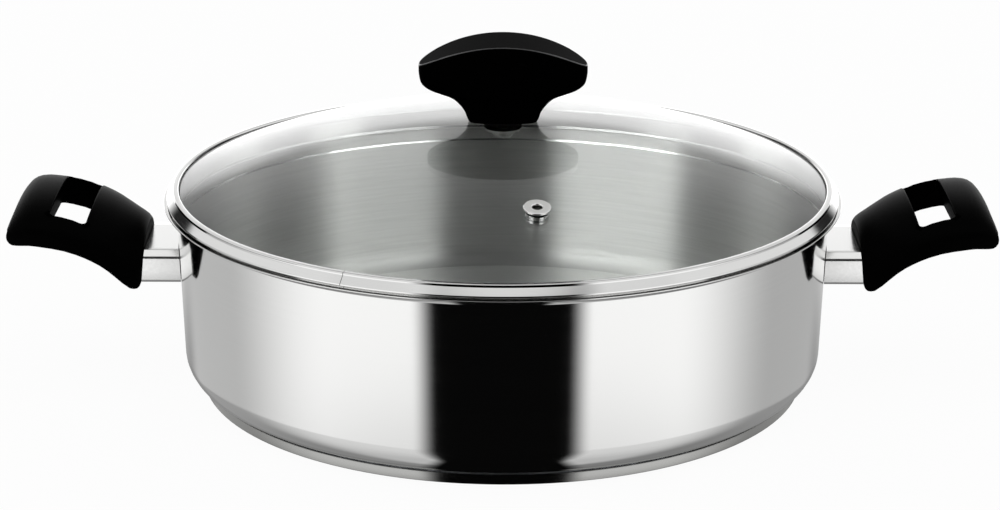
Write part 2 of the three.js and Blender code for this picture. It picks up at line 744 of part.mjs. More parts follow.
// One handle; the turn sets the side of the pot that it is on.
function handleGroup(side, turn) {
  const group = new THREE.Group().add(
    piece(`handle_bracket_${side}`, handleBracket(), brushedSteel),
    piece(`bracket_nut_${side}`, bracketNut(), brushedSteel),
    piece(`flame_guard_${side}`, flameGuard(), polishedSteel),
    piece(`handle_grip_${side}`, handleGrip(), bakelite),
    piece(`handle_washer_${side}`, handleWasher(), brushedSteel),
    piece(`handle_screw_${side}`, handleScrew(), brushedSteel),
  );
  group.position.z = neckHeight;
  group.rotation.z = turn;
  return group;
}

function lidGroup() {
  return new THREE.Group().add(
    piece('lid_glass', lidGlass(), glass),
    piece('lid_rim_band', lidRimBand(), polishedSteel),
    piece('knob', knob(), bakelite),
    piece('knob_insert', knobInsert(), brass),
    piece('knob_seal', knobSeal(), silicone),
    piece('under_seal', underSeal(), silicone),
    piece('under_washer', underWasher(), brushedSteel),
    piece('knob_screw', knobScrew(), brushedSteel),
    piece('vent_eyelet', placedAtVent(ventEyelet()), polishedSteel),
    piece('vent_grommet', placedAtVent(ventGrommet()), silicone),
    piece('vent_collar', placedAtVent(ventCollar()), brushedSteel),
  );
}

const casserole = new THREE.Group().add(
  potGroup(),
  handleGroup('right', 0),
  handleGroup('left', Math.PI),
  lidGroup(),
);

export default casserole;
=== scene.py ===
"""Looks of a low stainless steel casserole with a glass lid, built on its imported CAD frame."""

import logging
import math
from collections.abc import Mapping, Sequence
from dataclasses import dataclass
from enum import Enum
from functools import cached_property

import bmesh
import bpy
import numpy as np
from bmesh.types import BMEdge, BMesh, BMFace, BMVert
from mathutils import Matrix, Vector


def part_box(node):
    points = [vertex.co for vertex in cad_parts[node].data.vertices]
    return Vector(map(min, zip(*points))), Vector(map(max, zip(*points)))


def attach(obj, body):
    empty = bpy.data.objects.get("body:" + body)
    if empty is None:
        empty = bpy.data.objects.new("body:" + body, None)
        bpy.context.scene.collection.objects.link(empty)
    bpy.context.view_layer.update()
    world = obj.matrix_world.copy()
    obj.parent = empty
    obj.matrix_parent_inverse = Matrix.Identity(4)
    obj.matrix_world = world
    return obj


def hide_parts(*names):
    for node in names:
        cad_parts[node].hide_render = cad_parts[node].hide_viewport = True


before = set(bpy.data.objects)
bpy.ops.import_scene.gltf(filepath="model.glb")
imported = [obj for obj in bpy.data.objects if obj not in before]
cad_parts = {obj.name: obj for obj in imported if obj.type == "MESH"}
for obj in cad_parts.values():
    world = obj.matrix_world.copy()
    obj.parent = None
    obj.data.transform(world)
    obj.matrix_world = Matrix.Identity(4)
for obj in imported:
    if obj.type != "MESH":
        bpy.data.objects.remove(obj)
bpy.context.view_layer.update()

LOG = logging.getLogger("casserole")
MM = 0.001
MERGE_DISTANCE = 0.001 * MM
SHARP_ANGLE = math.radians(38)
ROUND_STEPS = 160  # faces round the pot and the lid
SMALL_STEPS = 64  # faces round screws, washers and the vent
ARC_STEP = math.radians(12)  # largest turn between two points of a rounded corner
LEVEL = 0.9  # least upward share in the normal of a face that counts as level
NOISE_BAND = {"From Min": 0.25, "From Max": 0.75}  # nearly all of a noise lies in it
QUARTER_TURN = 0.25  # turns the smear of a reflection across the lines


class Body(Enum):
    """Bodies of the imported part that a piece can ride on."""

    POT = "pot"
    LID = "lid"


class Slot(Enum):
    """Material slots of the record."""

    POLISHED_STEEL = "polished_steel"
    BRUSHED_STEEL = "brushed_steel"
    ALUMINIUM = "aluminium"
    BRASS = "brass"
    BAKELITE = "bakelite"
    SILICONE = "silicone"
    GLASS = "glass"


class Side(Enum):
    """Sides of the pot that carry a handle, each with its turn about the pot's axis."""

    RIGHT = 0.0
    LEFT = math.pi

    @property
    def label(self) -> str:
        """Name of the side as the CAD nodes spell it."""
        return self.name.lower()


def linear(hex_color: str) -> tuple[float, float, float, float]:
    """Turn an sRGB hex colour into linear RGBA.

    Args:
        hex_color: Six hex digits.

    Returns:
        Linear red, green and blue, with full alpha.
    """
    shares = (int(hex_color[i : i + 2], 16) / 255 for i in (0, 2, 4))
    red, green, blue = (
        s / 12.92 if s <= 0.04045 else ((s + 0.055) / 1.055) ** 2.4 for s in shares
    )
    return red, green, blue, 1.0


def add_node(
    tree: bpy.types.NodeTree,
    kind: str,
    settings: Mapping[str, object] | None = None,
    inputs: Mapping[str | int, object] | None = None,
) -> bpy.types.Node:
    """Add a node with its settings, values and links.

    Args:
        tree: Node tree that takes the node.
        kind: Type of the node without its ShaderNode prefix.
        settings: Properties of the node.
        inputs: A value, or a socket to link, for each named or numbered input.

    Returns:
        The new node.
    """
    node = tree.nodes.new("ShaderNode" + kind)
    for name, value in (settings or {}).items():
        setattr(node, name, value)
    for key, value in (inputs or {}).items():
        if isinstance(value, bpy.types.NodeSocket):
            tree.links.new(value, node.inputs[key])
        else:
            node.inputs[key].default_value = value
    return node


@dataclass(frozen=True)
class Finish:
    """A material, named for what it is and how its surface was made.

    Attributes:
        name: Name of the material.
        slot: Material slot of the record; not used here.
        color: sRGB hex colour.
        roughness: Middle of the surface's roughness.
        grain: Spacing of the surface's marks, in metres.
        spread: Change of roughness between the marks.
        depth: Depth of the marks, in metres.
    """

    name: str
    slot: Slot
    color: str
    roughness: float
    grain: float
    spread: float
    depth: float

    def material(self) -> bpy.types.Material:
        """Return the node material, made on first use."""
        made = bpy.data.materials.get(self.name)
        if made is None:
            made = bpy.data.materials.new(self.name)
            made.use_nodes = True
            shader = made.node_tree.nodes["Principled BSDF"]
            shader.inputs["Base Color"].default_value = linear(self.color)
            self.dress(made.node_tree, shader)
        return made

    def dress(self, tree: bpy.types.NodeTree, shader: bpy.types.Node) -> None:
        """Add even marks all over, to which a finish adds what else its making gives.

        Args:
            tree: Node tree of the material.
            shader: Its principled shader.
        """
        place = add_node(tree, "TexCoord").outputs["Object"]
        self.mark(tree, shader, place, [1 / self.grain] * 3)

    def mark(
        self,
        tree: bpy.types.NodeTree,
        shader: bpy.types.Node,
        place: bpy.types.NodeSocket,
        scale: Sequence[float],
    ) -> bpy.types.NodeSocket:
        """Vary roughness and height by one noise.

        Args:
            tree: Node tree of the material.
            shader: Its principled shader.
            place: Coordinates that the noise follows, in metres.
            scale: Marks per metre along each coordinate.

        Returns:
            The noise.
        """
        scaled = add_node(
            tree, "VectorMath", {"operation": "MULTIPLY"}, {0: place, 1: tuple(scale)}
        )
        noise = add_node(
            tree, "TexNoise", None, {"Vector": scaled.outputs[0], "Scale": 1.0, "Detail": 3.0}
        ).outputs["Fac"]
        low, high = self.roughness - self.spread, self.roughness + self.spread
        rough = add_node(
            tree, "MapRange", None, NOISE_BAND | {"Value": noise, "To Min": low, "To Max": high}
        )
        bump = add_node(tree, "Bump", None, {"Height": noise, "Distance": self.depth})
        tree.links.new(rough.outputs["Result"], shader.inputs["Roughness"])
        tree.links.new(bump.outputs["Normal"], shader.inputs["Normal"])
        return noise


@dataclass(frozen=True)
class RoundBrushedSteel(Finish):
    """Stainless steel polished or brushed while it turned on its axis.

    Its fine lines run round the axis, so reflections smear upright and soften.

    Attributes:
        run: Length of one line, in metres.
        smear: Anisotropy of the reflection.
        streak: Share of the light that the darkest lines lose.
    """

    run: float
    smear: float
    streak: float

    def dress(self, tree: bpy.types.NodeTree, shader: bpy.types.Node) -> None:
        """Add lines round the axis, on walls and floors alike."""
        place = add_node(tree, "TexCoord").outputs["Object"]
        x, y, z = add_node(tree, "SeparateXYZ", None, {0: place}).outputs
        flat = add_node(tree, "CombineXYZ", None, {0: x, 1: y})
        radius = add_node(tree, "VectorMath", {"operation": "LENGTH"}, {0: flat.outputs[0]})
        # Height less radius runs across the lines both up a wall and over a floor.
        across = add_node(
            tree, "Math", {"operation": "SUBTRACT"}, {0: z, 1: radius.outputs["Value"]}
        )
        lines = add_node(tree, "CombineXYZ", None, {0: x, 1: y, 2: across.outputs[0]})
        scale = (1 / self.run, 1 / self.run, 1 / self.grain)
        noise = self.mark(tree, shader, lines.outputs[0], scale)
        low, high = 1.0 - self.streak, 1.0
        shade = add_node(
            tree, "MapRange", None, NOISE_BAND | {"Value": noise, "To Min": low, "To Max": high}
        )
        color = add_node(
            tree,
            "VectorMath",
            {"operation": "SCALE"},
            {0: linear(self.color)[:3], "Scale": shade.outputs["Result"]},
        )
        tree.links.new(color.outputs[0], shader.inputs["Base Color"])
        shader.inputs["Metallic"].default_value = 1.0
        shader.inputs["Anisotropic"].default_value = self.smear
        shader.inputs["Anisotropic Rotation"].default_value = QUARTER_TURN
        tangent = add_node(tree, "Tangent", {"direction_type": "RADIAL", "axis": "Z"})
        tree.links.new(tangent.outputs[0], shader.inputs["Tangent"])


@dataclass(frozen=True)
class PressedMetal(Finish):
    """Bare metal that was pressed, turned or rolled, with fine marks all over.

    The marks only break up its reflections a little.
    """

    def dress(self, tree: bpy.types.NodeTree, shader: bpy.types.Node) -> None:
        """Add even marks and full metal."""
        super().dress(tree, shader)
        shader.inputs["Metallic"].default_value = 1.0


@dataclass(frozen=True)
class MouldedBlack(Finish):
    """Black phenolic or silicone as it leaves a lightly textured mould.

    The texture spreads each highlight into a faint grey sheen.

    Attributes:
        ior: Index of refraction.
        gloss: Share of the highlight that the texture leaves; above 1, on the knob's rim, it adds a
            painted highlight.
    """

    ior: float
    gloss: float

    def dress(self, tree: bpy.types.NodeTree, shader: bpy.types.Node) -> None:
        """Add the mould's texture."""
        super().dress(tree, shader)
        shader.inputs["IOR"].default_value = self.ior
        shader.inputs["Specular IOR Level"].default_value = self.gloss / 2


@dataclass(frozen=True)
class TemperedGlass(Finish):
    """Clear tempered glass, pressed to a dome and fire polished.

    It shows the pot inside, under a pale reflection of the backdrop. Tempering leaves waves
    that bend reflections a little.

    Attributes:
        ior: Index of refraction.
    """

    ior: float

    def dress(self, tree: bpy.types.NodeTree, shader: bpy.types.Node) -> None:
        """Add the waves and let light through."""
        super().dress(tree, shader)
        shader.inputs["IOR"].default_value = self.ior
        shader.inputs["Transmission Weight"].default_value = 1.0


# Buffed with a wheel while the pot turned: a mirror with faint upright smear.
MIRROR_STEEL = RoundBrushedSteel(
    "buffed_stainless_steel", Slot.POLISHED_STEEL, "e3e3e2",
    roughness=0.09, grain=0.7 * MM, spread=0.015, depth=0.0001 * MM,
    run=60 * MM, smear=0.5, streak=0.02,
)
# Brushed lines are under 0.1 mm wide; drawn at 0.9 mm so that they show as streaks.
BRUSHED_STEEL = RoundBrushedSteel(
    "brushed_stainless_steel", Slot.BRUSHED_STEEL, "dcdcda",
    roughness=0.42, grain=0.9 * MM, spread=0.06, depth=0.004 * MM,
    run=45 * MM, smear=1.0, streak=0.16,
)
# The same brushed steel, paler and with fainter streaks on the pot's floor: painted light from
# above.
PAINTED_LIGHT_FLOOR_STEEL = RoundBrushedSteel(
    "brushed_steel_painted_floor_light", Slot.BRUSHED_STEEL, "f6f6f4",
    roughness=0.42, grain=0.9 * MM, spread=0.06, depth=0.004 * MM,
    run=45 * MM, smear=1.0, streak=0.06,
)
# Satin cap that was ground flat after it was pressed on: greyer than the wall.
SATIN_CAP_STEEL = RoundBrushedSteel(
    "satin_ground_stainless_steel", Slot.BRUSHED_STEEL, "a8a8a6",
    roughness=0.15, grain=0.5 * MM, spread=0.03, depth=0.0005 * MM,
    run=30 * MM, smear=0.6, streak=0.06,
)
# The turned vent: bright, without lines.
BRIGHT_STEEL = PressedMetal(
    "bright_turned_stainless_steel", Slot.POLISHED_STEEL, "e3e3e2",
    roughness=0.14, grain=1.2 * MM, spread=0.03, depth=0.0005 * MM,
)
# Its top is faced: satin, which gathers light from all over the backdrop, and paler than the rest
# as painted light.
FACED_PAINTED_LIGHT_STEEL = PressedMetal(
    "satin_faced_steel_painted_light", Slot.POLISHED_STEEL, "fbfbf9",
    roughness=0.56, grain=1.2 * MM, spread=0.03, depth=0.0005 * MM,
)
# Folded sheet for the necks: satin, so that the grips beside it hardly show.
SATIN_STEEL = PressedMetal(
    "satin_folded_stainless_steel", Slot.POLISHED_STEEL, "ebebea",
    roughness=0.2, grain=1.2 * MM, spread=0.03, depth=0.0005 * MM,
)
# Screws, washers and straps, plated in a barrel: dull grey with broad highlights.
PLATED_STEEL = PressedMetal(
    "zinc_plated_steel", Slot.BRUSHED_STEEL, "b9bab8",
    roughness=0.36, grain=0.6 * MM, spread=0.06, depth=0.002 * MM,
)
# Rolled sheet for the core: pale grey without clear reflections.
CORE_ALUMINIUM = PressedMetal(
    "rolled_aluminium", Slot.ALUMINIUM, "b9bcc0",
    roughness=0.45, grain=0.8 * MM, spread=0.06, depth=0.002 * MM,
)
# The knob's insert, from a lathe: a muted yellow shine.
TURNED_BRASS = PressedMetal(
    "turned_brass", Slot.BRASS, "b8923f",
    roughness=0.32, grain=0.5 * MM, spread=0.06, depth=0.002 * MM,
)
# Phenolic picks up the satin of its steel mould, which is too fine to show and drawn coarser.
BLACK_PHENOLIC = MouldedBlack(
    "moulded_black_phenolic", Slot.BAKELITE, "030303",
    roughness=0.42, grain=0.5 * MM, spread=0.05, depth=0.004 * MM,
    ior=1.6, gloss=0.014,
)
# Darker and nearly without sheen: the knob's own black, and painted shade on the grips' window
# walls and inner faces.
SHEENLESS_KNOB_AND_SHADE_PHENOLIC = MouldedBlack(
    "fine_moulded_black_phenolic", Slot.BAKELITE, "020202",
    roughness=0.36, grain=0.5 * MM, spread=0.04, depth=0.003 * MM,
    ior=1.6, gloss=0.001,
)
# The knob's rim: a lighter, glossier black, so that it shows a thin light line, partly a real
# reflection on the rounded edge and partly a painted highlight.
KNOB_RIM_HIGHLIGHT = MouldedBlack(
    "black_phenolic_painted_rim_highlight", Slot.BAKELITE, "1a1a1b",
    roughness=0.3, grain=0.5 * MM, spread=0.04, depth=0.002 * MM,
    ior=1.6, gloss=1.6,
)
# Seals and grommet: matt and soft, with a weak broad highlight.
BLACK_SILICONE = MouldedBlack(
    "moulded_black_silicone", Slot.SILICONE, "0a0a0b",
    roughness=0.6, grain=0.4 * MM, spread=0.08, depth=0.006 * MM,
    ior=1.42, gloss=0.2,
)
# Fire polish leaves sharp reflections, and tempering waves tens of millimetres long.
CLEAR_GLASS = TemperedGlass(
    "clear_tempered_glass", Slot.GLASS, "fbfdfc",
    roughness=0.0, grain=40 * MM, spread=0.0, depth=0.01 * MM,
    ior=1.5,
)


@dataclass(frozen=True)
class Corner:
    """A corner of a turned profile.

    Attributes:
        radius: Distance from the axis, in metres.
        height: Height, in metres.
        rounding: Radius that the corner is rounded by, in metres.
    """

    radius: float
    height: float
    rounding: float = 0.0


def turned(
    profile: Sequence[Corner], steps: int, ring: bool = False, slit: float = 0.0, start: float = 0.0
) -> BMesh:
    """Turn a profile about Z.

    Args:
        profile: Corners from one end of the outline to the other.
        steps: Faces round the axis.
        ring: Whether the profile closes on itself; otherwise its ends lie on the axis.
        slit: Angle left open, with closed ends.
        start: Angle at which the turn starts.

    Returns:
        A closed mesh.
    """
    bm = bmesh.new()
    verts = [bm.verts.new((c.radius, 0.0, c.height)) for c in profile]
    for first, second in zip(verts, verts[1:]):
        bm.edges.new((first, second))
    if ring:
        bm.edges.new((verts[-1], verts[0]))
    for corner, vert in zip(profile, verts):
        if corner.rounding:
            round_corner(bm, vert, corner.rounding)
    bmesh.ops.rotate(bm, verts=bm.verts, cent=(0, 0, 0), matrix=Matrix.Rotation(start, 3, "Z"))
    outline = bm.verts[:] + bm.edges[:]
    bmesh.ops.spin(
        bm,
        geom=outline,
        cent=(0, 0, 0),
        axis=(0, 0, 1),
        angle=2 * math.pi - slit,
        steps=steps,
        use_merge=not slit,
    )
    if slit:
        bmesh.ops.holes_fill(bm, edges=[e for e in bm.edges if e.is_boundary])
    bmesh.ops.remove_doubles(bm, verts=bm.verts, dist=MERGE_DISTANCE)
    bmesh.ops.recalc_face_normals(bm, faces=bm.faces)
    return bm


def round_corner(bm: BMesh, vert: BMVert, radius: float) -> None:
    """Round the corner between the two edges that meet at a point of an outline.

    Args:
        bm: Mesh that holds the outline.
        vert: Point at the corner.
        radius: Radius of the rounding.
    """
    first, second = (e.other_vert(vert).co - vert.co for e in vert.link_edges)
    turn = math.pi - first.angle(second)
    bmesh.ops.bevel(
        bm,
        geom=[vert],
        offset=radius * math.tan(turn / 2),
        offset_type="OFFSET",
        segments=max(2, math.ceil(turn / ARC_STEP)),
        profile=0.5,
        affect="VERTICES",
        material=-1,
    )


def round_edges(
    bm: BMesh, edges: Sequence[BMEdge], radius: float, segments: int
) -> list[BMFace]:
    """Round edges of a solid.

    Args:
        bm: Mesh that holds the edges.
        edges: Edges to round.
        radius: Width of the rounding on each face.
        segments: Faces across the rounding.

    Returns:
        The faces of the rounding.
    """
    return bmesh.ops.bevel(
        bm,
        geom=list(edges),
        offset=radius,
        offset_type="OFFSET",
        segments=segments,
        profile=0.5,
        affect="EDGES",
        material=-1,
    )["faces"]


def round_bar(radius: float, low: float, high: float) -> BMesh:
    """Make an upright round bar about Z, which takes out a hole."""
    outline = [Corner(0, low), Corner(radius, low), Corner(radius, high), Corner(0, high)]
    return turned(outline, SMALL_STEPS)


def edges_along(bm: BMesh, axis: int, least: float) -> list[BMEdge]:
    """List the edges that run further than a given length along an axis."""
    return [e for e in bm.edges if abs(e.verts[0].co[axis] - e.verts[1].co[axis]) > least]


def smooth_through(values: Sequence[float], share: float) -> float:
    """Read a smooth curve through values at even steps.

    Args:
        values: Values from the curve's start to its end.
        share: Place on the curve, from 0 to 1.

    Returns:
        The value there.
    """
    last = len(values) - 1
    step = min(int(share * last), last - 1)
    t = share * last - step
    before, first, second, after = (
        values[min(max(k, 0), last)] for k in range(step - 1, step + 3)
    )
    slope_in, slope_out = (second - before) / 2, (after - first) / 2
    return (
        (2 * first - 2 * second + slope_in + slope_out) * t**3
        + (-3 * first + 3 * second - 2 * slope_in - slope_out) * t**2
        + slope_in * t
        + first
    )


def as_object(bm: BMesh, name: str) -> bpy.types.Object:
    """Make an object of a mesh and link it to the scene.

    Args:
        bm: Mesh, freed here.
        name: Name of the object and of its mesh.

    Returns:
        The object.
    """
    mesh = bpy.data.meshes.new(name)
    bm.to_mesh(mesh)
    bm.free()
    made = bpy.data.objects.new(name, mesh)
    bpy.context.scene.collection.objects.link(made)
    return made


def publish(
    bm: BMesh, name: str, finishes: Sequence[Finish], body: Body, nodes: Sequence[str]
) -> bpy.types.Object:
    """Make a finished piece of a mesh and put it in place of its CAD nodes.

    Args:
        bm: Closed mesh, freed here.
        name: Name of the piece.
        finishes: Its finishes, in the order of the faces' material indices.
        body: Body that it rides on.
        nodes: CAD nodes that it stands for.

    Returns:
        The piece.
    """
    bmesh.ops.remove_doubles(bm, verts=bm.verts, dist=MERGE_DISTANCE)
    piece = as_object(bm, name)
    mesh = piece.data
    mesh.shade_smooth()
    mesh.set_sharp_from_angle(angle=SHARP_ANGLE)
    for finish in finishes:
        mesh.materials.append(finish.material())
    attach(piece, body.value)
    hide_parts(*nodes)
    LOG.info("%s: %d faces for %s", name, len(mesh.polygons), ", ".join(nodes))
    return piece


def cut_out(piece: bpy.types.Object, tool: BMesh) -> None:
    """Cut a closed shape out of a piece.

    Args:
        piece: Piece to cut.
        tool: Shape to remove, freed here.
    """
    cutter = as_object(tool, "cutter")
    modifier = piece.modifiers.new("cut", "BOOLEAN")
    modifier.object = cutter
    modifier.operation = "DIFFERENCE"
    modifier.solver = "EXACT"
    spent = (piece.data, cutter.data)
    evaluated = piece.evaluated_get(bpy.context.evaluated_depsgraph_get())
    piece.data = bpy.data.meshes.new_from_object(evaluated)
    piece.modifiers.clear()
    piece.data.set_sharp_from_angle(angle=SHARP_ANGLE)
    bpy.data.objects.remove(cutter)
    for mesh in spent:
        bpy.data.meshes.remove(mesh)
    piece.data.name = piece.name


def dress_node(name: str, finish: Finish) -> None:
    """Give a CAD node that keeps its shape a finish."""
    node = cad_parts[name]
    for place in node.material_slots:
        place.material = finish.material()
    LOG.info("%s: %s", name, finish.name)


@dataclass
class PotShell:
    """The drawn pot with its flared lip.

    Attributes:
        sheet: Thickness of the wall.
        draft: Lean of the wall from its corner to the rim.
        corner: Outside radius between floor and wall.
        lip_rise: Height over which the inside flares into the lip.
        lip_drop: Lip's crest below the top of the CAD node.
        lip_crest: Width of the lip's flat crest.
        lip_edge: Height of the lip's outer edge.
        lip_rounding: Rounding of that edge.
        lip_fillet: Rounding between the wall and the lip's underside.
        crest_rounding: Rounding of the crest's inner edge.
        flare_rounding: Rounding between the inside and its flare.
        rim_radius: Inside of the pot at the rim.
        rim_depth: Top of the CAD node down to the step inside the rim.
        step: Height of the step.
        step_depth: Wall inside the rim, below the step.
        step_rounding: Rounding of the step's edges.
        end_rings: Rings from the ends of the wall, above its corner and below its lip.
    """

    sheet: float = 0.8 * MM
    draft: float = 2.4 * MM
    corner: float = 11.0 * MM
    lip_rise: float = 5.6 * MM
    lip_drop: float = 1.8 * MM
    lip_crest: float = 2.6 * MM
    lip_edge: float = 0.45 * MM
    lip_rounding: float = 0.15 * MM
    lip_fillet: float = 0.7 * MM
    crest_rounding: float = 0.8 * MM
    flare_rounding: float = 6.0 * MM
    rim_radius: float = 140.0 * MM
    rim_depth: float = 16.0 * MM
    step: float = 0.8 * MM
    step_depth: float = 0.45 * MM
    step_rounding: float = 0.4 * MM
    end_rings: tuple[float, float] = (1.0 * MM, 3.0 * MM)

    def build(self) -> None:
        """Build the shell, mirror bright outside and brushed inside, with a paler floor as painted
        light.
        """
        low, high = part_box("pot_body")
        outer, flare = self.rim_radius + self.sheet, high.z - self.lip_rise
        crest = high.z - self.lip_drop
        underside = crest - self.lip_edge
        step_top = high.z - self.rim_depth
        step_foot = step_top - self.step
        lean = self.draft / (flare - low.z - self.corner)
        # Rings near the ends of the wall keep the shading of its corners out of its middle.
        rings = [low.z + self.corner + self.end_rings[0], underside - self.end_rings[1]]
        wall = [
            Corner(outer - self.draft * (underside - z) / (underside - low.z), z) for z in rings
        ]
        rim = self.rim_radius - lean * (flare - step_top)
        floor_edge = self.rim_radius - self.draft - self.step_depth
        bm = turned(
            [
                Corner(0.0, low.z),
                Corner(outer - self.draft, low.z, self.corner),
                *wall,
                Corner(outer, underside, self.lip_fillet),
                Corner(high.x, underside, self.lip_rounding),
                Corner(high.x, crest, self.lip_rounding),
                Corner(high.x - self.lip_crest, crest, self.crest_rounding),
                Corner(self.rim_radius, flare, self.flare_rounding),
                Corner(rim, step_top, self.step_rounding),
                Corner(rim - self.step_depth, step_foot, self.step_rounding),
                Corner(floor_edge, low.z + self.sheet, self.corner - self.sheet),
                Corner(0.0, low.z + self.sheet),
            ],
            ROUND_STEPS,
        )
        finishes = [MIRROR_STEEL, BRUSHED_STEEL, PAINTED_LIGHT_FLOOR_STEEL]
        for face in bm.faces:
            middle = face.calc_center_median()
            inwards = face.normal.dot(Vector((middle.x, middle.y, 0))) < 0
            step = step_foot < middle.z < step_top
            # Upward faces inside take the paler steel: painted light from above.
            if face.normal.z > LEVEL and middle.z < step_top:
                face.material_index = finishes.index(PAINTED_LIGHT_FLOOR_STEEL)
            elif inwards and middle.z < flare and not step:
                face.material_index = finishes.index(BRUSHED_STEEL)
        publish(bm, "drawn_pot", finishes, Body.POT, ["pot_body"])


@dataclass
class CappedBase:
    """The pressed cap under the pot, over an aluminium core.

    Attributes:
        sheet: Thickness of the cap.
        foot_rounding: Radius of the cap's lower edge.
        rim_rounding: Radius of the cap's upper edges.
    """

    sheet: float = 0.8 * MM
    foot_rounding: float = 0.475 * MM
    rim_rounding: float = 0.25 * MM

    def build(self) -> None:
        """Build the cap and dress the core inside it."""
        low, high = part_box("base_cap")
        inside = high.x - self.sheet
        bm = turned(
            [
                Corner(0.0, low.z),
                Corner(high.x, low.z, self.foot_rounding),
                Corner(high.x, high.z, self.rim_rounding),
                Corner(inside, high.z, self.rim_rounding),
                Corner(inside, self.sheet, self.foot_rounding),
                Corner(0.0, self.sheet),
            ],
            ROUND_STEPS,
        )
        publish(bm, "pressed_base_cap", [SATIN_CAP_STEEL], Body.POT, ["base_cap"])
        dress_node("base_core_disc", CORE_ALUMINIUM)


@dataclass(frozen=True)
class GripStation:
    """Shape of the grip at one distance from its inner face.

    Attributes:
        out: Share of the grip's length.
        under: Underside as a share of the grip's rise.
        crown: Top as a share of the grip's rise.
        half: Share of the grip's half width.
    """

    out: float
    under: float
    crown: float
    half: float


GRIP_STATIONS = (
    GripStation(0.0, -0.272, 0.457, 0.649),
    GripStation(0.029, -0.305, 0.523, 0.67),
    GripStation(0.101, -0.245, 0.609, 0.718),
    GripStation(0.301, 0.103, 0.808, 0.836),
    GripStation(0.536, 0.348, 0.947, 0.938),
    GripStation(0.79, 0.46, 1.0, 0.992),
    GripStation(0.899, 0.47, 0.98, 1.0),
    GripStation(0.964, 0.483, 0.881, 0.992),
    GripStation(1.0, 0.54, 0.728, 0.954),
)
# Rows of the grip's mesh: 0 at the inner face, 1 and 2 at the window's walls, 3 at the tip.
GRIP_ROWS = (0, 0.07, 0.16, 0.28, 0.4, 0.52, 0.64, 0.76, 0.88, 1, 1.33, 1.67, 2, 2.15, 2.3, 2.45)
GRIP_ROWS += (2.6, 2.72, 2.82, 2.91, 3)
# Columns on one side of its middle: 1 at the window's end, 2 at the grip's side.
GRIP_COLUMNS = (0.2, 0.4, 0.6, 0.8, 1, 1.2, 1.4, 1.6, 1.8, 2)


